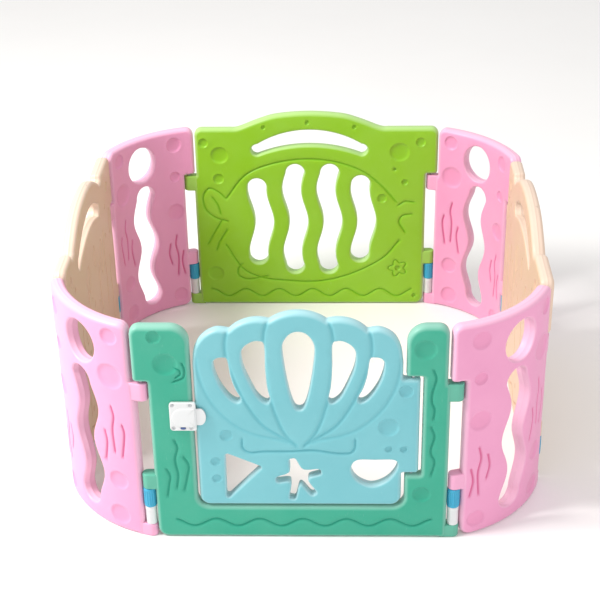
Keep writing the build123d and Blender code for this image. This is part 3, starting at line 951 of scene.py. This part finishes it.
def door_relief():
    """Ribs that fan out from the shell's foot, its scrolled base, and a few bubbles."""
    relief = Relief()
    ribs = [
        ([(67, 622), (78, 588), (81, 533), (76, 468), (69, 411), (53, 348), (34, 303), (10, 273)], 0.8),
        ([(161, 597), (169, 563), (168, 520), (154, 468), (128, 398), (91, 335), (53, 303), (14, 277)], 0.8),
        ([(238, 516), (235, 477), (221, 424), (192, 371), (147, 326), (102, 303), (52, 291), (30, 282)], 0.5),
    ]
    for rib, depth in ribs:
        relief.groove(rib, 12, depth)
        relief.groove(mirrored(rib), 12, depth)
    base = [(132, 287), (130, 264), (117, 251), (83, 251), (33, 259), (-24, 256), (-90, 255), (-121, 252)]
    relief.groove([*base, (-138, 265), (-139, 287)], 9)
    bubbles = [
        (251, 427, 17), (211, 326, 25), (212, 262, 9), (248, 262, 9),
        (-176, 302, 16), (-204, 226, 12), (-203, 176, 12),
    ]
    for x, z, radius in bubbles:
        relief.dimple(x, z, radius)
    return relief


def back_relief():
    """A big fish between bubbles, over one long wave; x is as seen from inside the ring."""
    relief = Relief()
    fish_top = [
        (-259, 370), (-201, 446), (-127, 483), (-28, 501), (70, 494), (159, 462), (219, 413), (265, 359),
    ]
    fish_low = [
        (275, 222), (223, 161), (123, 106), (22, 81), (-80, 84), (-156, 95), (-216, 128), (-265, 211),
    ]
    tail = [(-259, 370), (-281, 392), (-311, 405), (-330, 375), (-322, 332), (-293, 305), (-261, 294)]
    lines = [
        fish_top, fish_low, tail,
        [(-301, 375), (-285, 348), (-278, 321)],
        [(-273, 299), (-299, 255), (-320, 217)],
        [(-261, 261), (-285, 222), (-295, 195)],
        [(-221, 142), (-231, 123), (-227, 100), (-196, 89), (-140, 100)],
        [(275, 348), (294, 359), (319, 356)],
        [(310, 316), (285, 310), (276, 288), (294, 255)],
    ]
    for line in lines:
        relief.groove([(-x, z) for x, z in line], 9)
    relief.groove(wave_line(-316, 314, 40.5, 12.5, 263, 107), 9)
    petals = np.linspace(0, 2 * math.pi, 40, endpoint=False)
    flower = [
        (-274 + (24 + 6 * math.cos(5 * a)) * math.cos(a), 128 + (24 + 6 * math.cos(5 * a)) * math.sin(a))
        for a in petals
    ]
    relief.groove(flower, 6, 0.8, closed=True)
    bubbles = [
        (-322, 556, 15), (-274, 516, 27), (-280, 438, 17), (337, 556, 15), (274, 524, 30), (260, 467, 5),
        (291, 424, 10), (222, 370, 15), (-138, 606, 7), (-6, 621, 7), (136, 606, 7), (-302, 111, 25),
        (327, 30, 7), (274, 128, 9),
    ]
    for x, z, radius in bubbles:
        relief.dimple(-x, z, radius)
    return relief


def corner_relief():
    """Columns of bubbles and seaweed strands either side of the openings."""
    relief = Relief()
    bubbles = (
        (99, 562, 22), (92, 451, 34), (92, 151, 26), (88, 46, 28),
        (-118, 556, 24), (-116, 452, 17), (-112, 334, 28), (-112, 44, 24),
    )
    for u, z, radius in bubbles:
        relief.dimple(u, z, radius)
    strands = [
        [(88, 364), (93, 336), (87, 297), (89, 235)],
        [(64, 286), (68, 257), (60, 207)],
        [(115, 318), (119, 291), (110, 228)],
        [(-110, 252), (-105, 222), (-112, 180), (-108, 120)],
        [(-86, 226), (-81, 194), (-88, 160)],
        [(-130, 196), (-124, 160), (-131, 118)],
    ]
    for strand in strands:
        relief.groove(strand, 8)
    return relief


def side_relief():
    """Seaweed strands, long leaves and small bubbles over the face, with a wave along the foot."""
    relief = Relief()
    strands = [
        [(-266, 330), (-258, 280), (-270, 215), (-262, 130)],
        [(-196, 449), (-188, 378), (-199, 300), (-190, 230)],
        [(-96, 400), (-88, 330), (-101, 250), (-92, 160)],
        [(10, 330), (19, 270), (4, 200), (12, 110)],
        [(92, 440), (84, 370), (97, 290), (88, 180)],
        [(196, 398), (206, 330), (190, 250), (200, 90)],
        [(266, 360), (258, 290), (270, 220), (262, 150)],
    ]
    for strand in strands:
        relief.groove(strand, 10)
    for x, z, tall in ((-142, 400, 50), (60, 430, 38), (150, 330, 46), (-40, 450, 30), (300, 470, 32),
                       (-310, 430, 38)):
        relief.groove(ellipse(x, z, tall * 0.34, tall, 16), 7, 0.8, closed=True)
    relief.groove(wave_line(-312, 316, 45, 10.5, -263, 107), 9)
    for x, z, radius in ((-230, 420, 7), (-58, 300, 6), (40, 360, 6), (232, 444, 7), (135, 246, 7), (-61, 95, 7),
                         (170, 90, 7), (-169, 99, 7), (-300, 540, 16), (290, 545, 15), (250, 500, 7),
                         (-252, 500, 8)):
        relief.dimple(x, z, radius, tint=1.0 if radius < 10 else 0.15)
    return relief


# ---------------------------------------------------------------- pieces
def make_gate_frame(context):
    mould = context.scene.playpen_mould
    doorway = [
        (INNER_RIGHT, SHOULDER, 47), (INNER_RIGHT, BLOCK_BOTTOM, 4), (POST_RIGHT, BLOCK_BOTTOM, 4),
        (POST_RIGHT, LUG_TOP, 4), (INNER_RIGHT, LUG_TOP, 4), (INNER_RIGHT, RAIL_TOP, 30),
        (INNER_LEFT, RAIL_TOP, 30), (INNER_LEFT, SHOULDER, 45),
    ]
    shell = Shell()
    outline = rounded(blank_corners(HALF_SPAN, 25, doorway))
    roll = mould.panel_roll / MM
    moulded_slab(shell, outline, [], gate_relief(), HALF_THICK, roll, mould)
    add_tabs(shell, HALF_SPAN)
    piece_from("gate_frame_shell", shell, flat_place(0), sea_green_plastic(), "gate",
               ["gate_frame"])


CENTRE_DROP = [(0, 586), (22, 577), (37, 547), (34, 492), (24, 426), (12, 382), (0, 373)]
SECOND_DROP = [
    (79, 550), (90, 561), (107, 559), (126, 545), (133, 524), (129, 486),
    (114, 444), (97, 408), (78, 392), (69, 402), (75, 438), (78, 488),
]
OUTER_DROP = [
    (166, 511), (176, 517), (192, 514), (199, 501), (196, 472), (184, 438),
    (164, 406), (146, 394), (138, 404), (151, 434), (160, 468),
]
HALF_MOON = [
    (142, 230), (180, 230), (222, 230), (234, 219), (228, 194),
    (206, 166), (172, 152), (139, 167), (123, 194), (126, 219),
]
TRIANGLE = [(-181, 250, 5), (-92, 209, 5), (-182, 111, 5)]
STAR_MIDDLE = (-6, 180)
STAR_ARMS = [(16, 57), (105, 55), (190, 54), (257, 68), (307, 66)]  # direction, length
STAR_WAIST, STAR_TIP_HALF = 25, 8


def star():
    """A starfish of five blunt arms of uneven length."""
    cx, cz = STAR_MIDDLE
    outline = []
    for i, (turn, reach) in enumerate(STAR_ARMS):
        along = (math.cos(math.radians(turn)), math.sin(math.radians(turn)))
        next_turn = STAR_ARMS[(i + 1) % len(STAR_ARMS)][0]
        between = math.radians(turn + ((next_turn - turn) % 360) / 2)
        for side, out in ((-1, 0.93), (0, 1), (1, 0.93)):
            outline.append((cx + along[0] * reach * out - along[1] * side * STAR_TIP_HALF,
                            cz + along[1] * reach * out + along[0] * side * STAR_TIP_HALF))
        outline.append((cx + STAR_WAIST * math.cos(between), cz + STAR_WAIST * math.sin(between)))
    return smooth(outline, closed=True)


def door_outline():
    """The shell: five lobes on top, straight sides and a hinge block on the right."""
    inner, outer = (66, 613), (159, 588)

    def side(s, edge):
        second = arc_through((s * inner[0], inner[1]), (s * 112, 615), (s * outer[0], outer[1]), 16)
        last = smooth([(s * outer[0], outer[1]), (s * 190, 591), (s * 221, 573), (edge - s * 6, 541),
                       (edge, LOBE_END)])
        return np.vstack([second[:-1], last])

    centre = arc_through(inner, (0, 635), (-inner[0], inner[1]), 20)
    lobes = np.vstack([side(1, DOOR_RIGHT)[::-1][:-1], centre[:-1], side(-1, DOOR_LEFT)])
    block_low, block_high = HINGE_BLOCK
    foot = [
        (DOOR_LEFT, DOOR_BOTTOM, 25), (DOOR_RIGHT, DOOR_BOTTOM, 25), (DOOR_RIGHT, block_low, 4),
        (HINGE_EDGE, block_low, 5), (HINGE_EDGE, block_high, 5), (DOOR_RIGHT, block_high, 4),
    ]
    return rounded(foot + [(x, z, 0) for x, z in lobes])


def make_door(context):
    mould = context.scene.playpen_mould
    drop = smooth(CENTRE_DROP + mirrored(CENTRE_DROP)[1:-1], closed=True)
    holes = [drop, star(), smooth(HALF_MOON, closed=True), rounded(TRIANGLE)]
    for points in (SECOND_DROP, OUTER_DROP):
        holes += [smooth(points, closed=True), smooth(mirrored(points), closed=True)]
    shell = Shell()
    roll = mould.door_roll / MM
    moulded_slab(shell, door_outline(), holes, door_relief(), DOOR_HALF_THICK, roll, mould)
    piece_from("shell_door", shell, flat_place(0), sky_blue_plastic(), "door", ["gate_door"])


def arch_corners(points):
    """The points of an arched top as corners without rounding, from right to left."""
    return [(x, z, 0) for x, z in smooth(points)[::-1]]


def make_back_panel(context):
    mould = context.scene.playpen_mould
    arch = [(-245, SHOULDER), (-215, SHOULDER + 2), (-152, 627), (-96, 643), (0, BACK_TOP), (96, 643),
            (152, 627), (215, SHOULDER + 2), (245, SHOULDER)]
    outline = rounded(blank_corners(HALF_SPAN, 22, arch_corners(arch)))
    slots = ((-165, 150, 447), (-60, 109, 485), (46, 109, 485), (153, 143, 438))
    holes = [handle_slot()]
    holes += [wavy_slot(x, low, high, 58, -10.5, 290, 215) for x, low, high in slots]
    shell = Shell()
    roll = mould.panel_roll / MM
    moulded_slab(shell, outline, holes, back_relief(), HALF_THICK, roll, mould)
    add_tabs(shell, HALF_SPAN)
    piece_from("back_panel_shell", shell, flat_place(2), lime_plastic(), "back", ["back_panel"])


def make_side_panels(context):
    mould = context.scene.playpen_mould
    notch_x, notch_z, notch_r, wide = 215, 585, 7, 245
    arch = [(-notch_x, notch_z), (-182, 608), (-105, 642), (0, SIDE_TOP), (105, 642), (182, 608),
            (notch_x, notch_z)]
    top = [(wide, SHOULDER, notch_r), (wide, notch_z, notch_r), *arch_corners(arch),
           (-wide, notch_z, notch_r), (-wide, SHOULDER, notch_r)]
    shell = Shell()
    roll = mould.panel_roll / MM
    outline = rounded(blank_corners(HALF_SPAN, 22, top))
    moulded_slab(shell, outline, [handle_slot()], side_relief(), HALF_THICK, roll, mould)
    add_tabs(shell, HALF_SPAN)
    for quarter, side in ((1, "right"), (3, "left")):
        piece_from(f"{side}_panel_shell", shell, flat_place(quarter), beige_plastic(), f"{side}_side",
                   [f"{side}_panel"])


def make_corner_panels(context):
    mould = context.scene.playpen_mould
    outline = rounded(blank_corners(CORNER_HALF))
    holes = [ellipse(0, 516, 52, 56), wavy_slot(0, 40, 444, 68, 12, 343, 187)]
    shell = Shell()
    roll = mould.panel_roll / MM
    moulded_slab(shell, outline, holes, corner_relief(), HALF_THICK, roll, mould)
    add_tabs(shell, CORNER_HALF)
    for index, corner in enumerate(CORNERS):
        piece_from(f"{corner}_corner_shell", shell, corner_place(index), pink_plastic(), f"{corner}_corner",
                   [f"corner_{corner}"])


def pin_axis(seam):
    """The plan place of a seam's pin, in millimetres."""
    node = f"upper_pin_{seam}"
    return middle_mm(node, 0), middle_mm(node, 1)


def lathe(profile, centre, flutes=0, flute_depth=0.0, fluted=(), sides=64):
    """A closed solid turned about an upright axis; the rows listed in fluted have grip ribs."""
    verts, faces = [], []
    at = np.linspace(0, 2 * math.pi, sides, endpoint=False)
    for row, (radius, z) in enumerate(profile):
        reach = np.full(sides, radius, float)
        if row in fluted:
            reach -= flute_depth * (0.5 - 0.5 * np.cos(flutes * at))
        verts.append(np.column_stack((centre[0] + reach * np.cos(at), centre[1] + reach * np.sin(at),
                                      np.full(sides, z))))
    count = len(profile)
    for row in range(count):
        below, above = row * sides, (row + 1) % count * sides
        for i in range(sides):
            j = (i + 1) % sides
            faces.append((below + i, below + j, above + j, above + i))
    return np.vstack(verts), faces


def upright_piece(name, verts, faces, material, body, replaced, rim_highlights):
    """A piece whose vertices are already (x, y, z) in millimetres."""
    shell = Shell()
    # Each vertex's share of painted highlight, even over the whole piece.
    shell.add(verts, faces, np.column_stack((np.zeros(len(verts)), rim_highlights)))
    return piece_from(name, shell, lambda v: v * MM, material, body, replaced)


def make_sleeves(context):
    """White sleeves with a small collar at the top, on the panel whose foot they stand on."""
    bore = PIN_R + 0.06
    low, high = SLEEVE_Z
    collar = 9
    profile = [
        (SLEEVE_R - 1.6, low), (SLEEVE_R - 0.8, low + 0.5), (SLEEVE_R - 0.6, low + 1.6),
        (SLEEVE_R - 0.6, high - collar - 1), (SLEEVE_R - 0.1, high - collar), (SLEEVE_R, high - collar + 1),
        (SLEEVE_R, high - 1.5), (SLEEVE_R - 0.5, high - 0.4), (SLEEVE_R - 1.6, high), (bore, high), (bore, low),
    ]
    for seam in SEAMS:
        verts, faces = lathe(profile, pin_axis(seam))
        body = frame["nodes"][f"sleeve_{seam}"]["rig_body"]
        # The sleeves take an even share of painted highlight.
        upright_piece(f"seam_sleeve_{seam}", verts, faces, fitting_plastic(), body,
                      [f"sleeve_{seam}"], np.full(len(verts), 0.2))


def make_lock_rings(context):
    """Blue lock rings with grip ribs, plain bands at both ends and a bored middle."""
    ribs = context.scene.playpen_mould.ribs
    bore = PIN_R + 0.06
    low, high = RING_Z
    band, outer = 6.0, RING_R
    profile = [
        (outer - 2.2, low), (outer - 0.9, low + 0.6), (outer - 0.4, low + 1.8), (outer - 0.4, low + band),
        (outer - 0.5, low + band + 0.8), (outer, low + band + 2.2), (outer, (low + high) / 2),
        (outer, high - band - 2.2), (outer - 0.5, high - band - 0.8), (outer - 0.4, high - band),
        (outer - 0.4, high - 1.8), (outer - 0.9, high - 0.6), (outer - 2.2, high), (bore, high), (bore, low),
    ]
    for seam in SEAMS:
        verts, faces = lathe(profile, pin_axis(seam), ribs, 1.5, (5, 6, 7), 8 * ribs)
        # The rings take a smaller even share of painted highlight.
        upright_piece(f"turn_ring_{seam}", verts, faces, ring_plastic(), f"lock_ring_{seam}",
                      [f"lock_ring_{seam}"], np.full(len(verts), 0.1))


def finish_steel(context):
    """Give every pin, screw and spring that shows as it is its plated steel."""
    for name, node in frame["nodes"].items():
        if "pin_" in name or name in ("latch_screws", "latch_button_spring"):
            node.data.materials.clear()
            node.data.materials.append(plated_steel())


def face_place(verts):
    """Puts (x, out, z) on the gate's outer face, in metres."""
    x, y = verts[:, 0], -RING_HALF - HALF_THICK - verts[:, 1]
    return np.column_stack((x, y, verts[:, 2])) * MM


def puck(shell, outline, back, front, roll, dome=0.0):
    """Add a flat piece with a rolled front edge and a slightly domed front."""
    loop = resample(turned_to(outline, 1), 1.2, True)
    centre = loop.mean(0)
    inwards = loop_inwards(loop)
    turns = [math.radians(t) for t in (0, 22, 45, 67, 90)]
    rows = [(0, back)] + [(roll * (1 - math.cos(t)), front - roll * (1 - math.sin(t))) for t in turns]
    count, verts = len(loop), []
    for offset, out in rows:
        ring = loop + inwards * offset
        verts.append(np.column_stack((ring[:, 0], np.full(count, out), ring[:, 1])))
    for shrink in (0.66, 0.33):
        ring = centre + (loop + inwards * roll - centre) * shrink
        out = front + dome * (1 - shrink**2)
        verts.append(np.column_stack((ring[:, 0], np.full(count, out), ring[:, 1])))
    levels = len(rows) + 2
    faces = capped_rings(levels, count)
    # The whole piece takes an even share of painted highlight.
    shell.add(np.vstack(verts), faces, np.tile((0.0, 0.15), (levels * count, 1)))


def slot_outline(x_span, z_span):
    """A level slot with round ends that fills the spans."""
    r = (z_span[1] - z_span[0]) / 2
    x0, x1 = x_span
    z0, z1 = z_span
    return rounded([(x0, z0, r * 0.999), (x1, z0, r * 0.999), (x1, z1, r * 0.999), (x0, z1, r * 0.999)])


def bolt_outline():
    """The tongue: a strip with a half-oval tip."""
    (tail, tip), (low, high) = BOLT_X, BOLT_Z
    half, middle = (high - low) / 2, (high + low) / 2
    root = tip - 0.62 * half
    turn = np.linspace(-math.pi / 2, math.pi / 2, 40)
    nose = np.column_stack((root + (tip - root) * np.cos(turn), middle + half * np.sin(turn)))
    return np.vstack([nose, [(tail, high), (tail, low)]])


def make_latch(context):
    """The screwed latch cover with its channel, the sliding tongue and the safety button."""
    deep = -span_mm("latch_plate", 1)[0] - RING_HALF - HALF_THICK
    half = deep / 2
    (x0, x1), (z0, z1) = LATCH_X, LATCH_Z
    plate = rounded([(x0, z0, 8), (x1, z0, 4), (x1, z1, 4), (x0, z1, 8)])
    screws = [
        (x, z) for x in inset(span_mm("latch_screws", 0), SCREW_HEAD_R)
        for z in inset(span_mm("latch_screws", 2), SCREW_HEAD_R)
    ]
    grow = 0.35
    button = slot_outline((BUTTON_X[0] - grow, BUTTON_X[1] + grow), (BUTTON_Z[0] - grow, BUTTON_Z[1] + grow))
    holes = [ellipse(x, z, 4.4, 4.4, 28) for x, z in screws] + [button]
    mould = context.scene.playpen_mould
    cover = Shell()
    fine_slab(cover, plate, holes, half, mould)
    cover.verts[:, 1] += half
    piece = piece_from("latch_cover", cover, face_place, fitting_plastic(), "gate",
                       ["latch_plate"])
    cut_channel(piece)

    housing = Shell()
    middle = (BOLT_Z[0] + BOLT_Z[1]) / 2
    reach = (BOLT_Z[1] - BOLT_Z[0]) / 2 + 3
    turn = np.linspace(math.pi / 2, 3 * math.pi / 2, 30)
    round_end = np.column_stack((x0 + 5 + reach + reach * np.cos(turn), middle + reach * np.sin(turn)))
    outline = np.vstack([round_end, [(x1 - 2.5, middle - reach), (x1 - 2.5, middle + reach)]])
    puck(housing, outline, deep - 0.4, deep + mould.housing / MM, 1.6)
    piece_from("tongue_housing", housing, face_place, fitting_plastic(), "gate",
               ["latch_plate"])

    tongue = Shell()
    back = -span_mm("latch_bolt", 1)[1] - RING_HALF - HALF_THICK
    front = -span_mm("latch_bolt", 1)[0] - RING_HALF - HALF_THICK
    puck(tongue, bolt_outline(), back, front, 1.2)
    piece_from("latch_tongue", tongue, face_place, fitting_plastic(), "latch_bolt",
               ["latch_bolt"])

    press = Shell()
    back = -span_mm("latch_button", 1)[1] - RING_HALF - HALF_THICK
    front = -span_mm("latch_button", 1)[0] - RING_HALF - HALF_THICK
    puck(press, slot_outline(BUTTON_X, BUTTON_Z), back, front - 0.5, 1.0, 0.5)
    piece_from("safety_button", press, face_place, button_plastic(), "latch_button",
               ["latch_button"])


def fine_slab(shell, outline, holes, half_thick, mould):
    """A small moulded slab with a finer mesh than the panels."""
    loops = [resample(turned_to(outline, 1), 1.5, True)]
    loops += [resample(turned_to(hole, -1), 1.2, True) for hole in holes]
    roll = 1.6
    points = skin_points(loops, [roll] * len(loops), Relief(), 3.0, 1.3)
    flat, triangles = triangulated(points, loops)
    depth = np.clip(distance_to(flat, loops, True), 0, roll)
    height = half_thick - rolled_off(depth, roll)
    count = len(flat)
    rim = rim_edges(triangles)
    verts = np.vstack([np.column_stack((flat[:, 0], height, flat[:, 1])),
                       np.column_stack((flat[:, 0], np.full(count, -half_thick), flat[:, 1]))])
    faces = [tuple(t) for t in triangles.tolist()]
    faces += [(c + count, b + count, a + count) for a, b, c in triangles.tolist()]
    faces += [(b, a, a + count, b + count) for a, b in rim]
    # Painted highlight, strongest at the rolled edge.
    shares = np.column_stack((np.zeros(2 * count), np.tile(1 - depth / roll, 2) * 0.4))
    shell.add(verts, faces, shares)


def cut_channel(cover):
    """Cut the tongue's channel out of the cover's back, open at its right side."""
    slide = next(joint for joint in frame["joints"] if joint["name"] == "latch_slide")
    travel = slide["range_m"][1] / MM
    gap = 0.5
    x0, x1 = BOLT_X[0] - travel - gap, LATCH_X[1] + 3
    y0 = -RING_HALF - HALF_THICK + 1
    y1 = span_mm("latch_bolt", 1)[0] - gap
    z0, z1 = BOLT_Z[0] - gap, BOLT_Z[1] + gap
    corners = np.array([(x, y, z) for x in (x0, x1) for y in (y1, y0) for z in (z0, z1)]) * MM
    sides = [(0, 1, 3, 2), (4, 6, 7, 5), (0, 4, 5, 1), (2, 3, 7, 6), (0, 2, 6, 4), (1, 5, 7, 3)]
    mesh = bpy.data.meshes.new("channel_cutter")
    mesh.from_pydata(corners.tolist(), [], sides)
    cutter = bpy.data.objects.new("channel_cutter", mesh)
    bpy.context.scene.collection.objects.link(cutter)
    cut = cover.modifiers.new("Channel", "BOOLEAN")
    cut.operation, cut.solver, cut.object = "DIFFERENCE", "EXACT", cutter
    bpy.context.view_layer.update()
    evaluated = cover.evaluated_get(bpy.context.evaluated_depsgraph_get())
    shaped = bpy.data.meshes.new_from_object(evaluated)
    cover.modifiers.remove(cut)
    cover.data = shaped
    bpy.data.objects.remove(cutter)


# ---------------------------------------------------------------- stage
def floor_material():
    """Pale painted floor with a faint cloud and a soft sheen."""
    material, tree, shader = fresh_material("Pale floor")
    space = add_node(tree, "ShaderNodeTexCoord", (-900, 0)).outputs["Object"]
    cloud = add_noise(tree, (-700, 0), 1.1, 4.0, 0.55, space)
    tone = linear_rgba(bpy.context.scene.playpen_colours.floor)
    mixed = add_mix(tree, (-300, 100), add_range(tree, (-500, 0), cloud, 0.3, 0.7), tone,
                    (*(channel * 0.975 for channel in tone[:3]), 1))
    tree.links.new(mixed, shader.inputs["Base Color"])
    tree.links.new(add_range(tree, (-500, -200), cloud, 0.3, 0.7, 0.52, 0.62), shader.inputs["Roughness"])
    return material


def make_stage(context):
    stage = context.scene.playpen_stage
    size, drop = 14.0, 0.0006
    steps = 24
    grid = np.linspace(-size, size, steps + 1)
    verts = [(x, y, -drop) for y in grid for x in grid]
    faces = []
    for j in range(steps):
        for i in range(steps):
            a = j * (steps + 1) + i
            faces.append((a, a + 1, a + steps + 2, a + steps + 1))
    mesh = bpy.data.meshes.new("floor")
    mesh.from_pydata(verts, [], faces)
    mesh.materials.append(floor_material())
    floor = bpy.data.objects.new("floor", mesh)
    context.scene.collection.objects.link(floor)
    context.scene.view_settings.view_transform = "Standard"
    make_world(context, stage.sky)
    add_light(context, "window_light", (-2.9, -1.0, 3.3), 1.5, stage.key_power, (1.0, 0.985, 0.96))
    add_light(context, "fill_light", (2.8, -3.0, 2.2), 3.2, stage.fill_power, (0.95, 0.975, 1.0))
    make_camera(context, stage)


def make_world(context, strength):
    world = bpy.data.worlds.new("room_light")
    world.use_nodes = True
    background = world.node_tree.nodes["Background"]
    background.inputs["Color"].default_value = (1.0, 0.99, 0.98, 1)
    background.inputs["Strength"].default_value = strength
    context.scene.world = world


def add_light(context, name, place, size, power, tint):
    """A square soft light that looks at the ring's middle."""
    data = bpy.data.lights.new(name, "AREA")
    data.shape, data.size, data.energy, data.color = "SQUARE", size, power, tint
    light = bpy.data.objects.new(name, data)
    light.location = place
    aim = Vector((0, 0, 0.3)) - Vector(place)
    light.rotation_euler = aim.to_track_quat("-Z", "Y").to_euler()
    context.scene.collection.objects.link(light)


def make_camera(context, stage):
    data = bpy.data.cameras.new("view_camera")
    data.lens, data.sensor_width = stage.lens, 36.0
    data.clip_end = 60
    camera = bpy.data.objects.new("view_camera", data)
    turn = (
        Matrix.Rotation(stage.yaw, 4, "Z")
        @ Matrix.Rotation(math.pi / 2 - stage.pitch, 4, "X")
        @ Matrix.Rotation(-stage.roll, 4, "Z")
    )
    camera.matrix_world = Matrix.Translation(stage.eye) @ turn
    context.scene.collection.objects.link(camera)
    context.scene.camera = camera


# ---------------------------------------------------------------- operators and panel
class PLAYPEN_OT_gate_frame(bpy.types.Operator):
    """Build the sea green gate frame"""

    bl_idname = "playpen.gate_frame"
    bl_label = "Gate Frame"

    def execute(self, context):
        make_gate_frame(context)
        return {"FINISHED"}


class PLAYPEN_OT_door(bpy.types.Operator):
    """Build the pale blue shell door"""

    bl_idname = "playpen.door"
    bl_label = "Shell Door"

    def execute(self, context):
        make_door(context)
        return {"FINISHED"}


class PLAYPEN_OT_back_panel(bpy.types.Operator):
    """Build the lime back panel"""

    bl_idname = "playpen.back_panel"
    bl_label = "Back Panel"

    def execute(self, context):
        make_back_panel(context)
        return {"FINISHED"}


class PLAYPEN_OT_side_panels(bpy.types.Operator):
    """Build the two beige side panels"""

    bl_idname = "playpen.side_panels"
    bl_label = "Side Panels"

    def execute(self, context):
        make_side_panels(context)
        return {"FINISHED"}


class PLAYPEN_OT_corner_panels(bpy.types.Operator):
    """Build the four pink corner panels"""

    bl_idname = "playpen.corner_panels"
    bl_label = "Corner Panels"

    def execute(self, context):
        make_corner_panels(context)
        return {"FINISHED"}


class PLAYPEN_OT_seams(bpy.types.Operator):
    """Build the sleeves and lock rings at the seams, and finish the steel"""

    bl_idname = "playpen.seams"
    bl_label = "Seam Hardware"

    def execute(self, context):
        make_sleeves(context)
        make_lock_rings(context)
        finish_steel(context)
        return {"FINISHED"}


class PLAYPEN_OT_latch(bpy.types.Operator):
    """Build the latch cover, its tongue and its button"""

    bl_idname = "playpen.latch"
    bl_label = "Latch"

    def execute(self, context):
        make_latch(context)
        return {"FINISHED"}


class PLAYPEN_OT_stage(bpy.types.Operator):
    """Lay the floor and set the lights and the camera"""

    bl_idname = "playpen.stage"
    bl_label = "Stage"

    def execute(self, context):
        make_stage(context)
        return {"FINISHED"}


PIECES = (
    PLAYPEN_OT_gate_frame, PLAYPEN_OT_door, PLAYPEN_OT_back_panel, PLAYPEN_OT_side_panels,
    PLAYPEN_OT_corner_panels, PLAYPEN_OT_seams, PLAYPEN_OT_latch, PLAYPEN_OT_stage,
)
SETTINGS = {
    "playpen_mould": PlaypenMould, "playpen_colours": PlaypenColours, "playpen_stage": PlaypenStage,
}


class PLAYPEN_PT_build(bpy.types.Panel):
    """Buttons that build the playpen"""

    bl_label = "Playpen"
    bl_idname = "PLAYPEN_PT_build"
    bl_space_type = "VIEW_3D"
    bl_region_type = "UI"
    bl_category = "Playpen"

    def draw(self, context):
        for operator in PIECES:
            self.layout.operator(operator.bl_idname)
        for label, group in SETTINGS.items():
            box = self.layout.box()
            for setting in group.__annotations__:
                box.prop(getattr(context.scene, label), setting)


def register():
    for group in (*SETTINGS.values(), *PIECES, PLAYPEN_PT_build):
        bpy.utils.register_class(group)
    for label, group in SETTINGS.items():
        setattr(bpy.types.Scene, label, PointerProperty(type=group))


def unregister():
    for label in SETTINGS:
        delattr(bpy.types.Scene, label)
    for group in reversed((*SETTINGS.values(), *PIECES, PLAYPEN_PT_build)):
        bpy.utils.unregister_class(group)


def main():
    register()
    for operator in PIECES:
        family, name = operator.bl_idname.split(".")
        getattr(getattr(bpy.ops, family), name)()


if __name__ == "__main__":
    main()
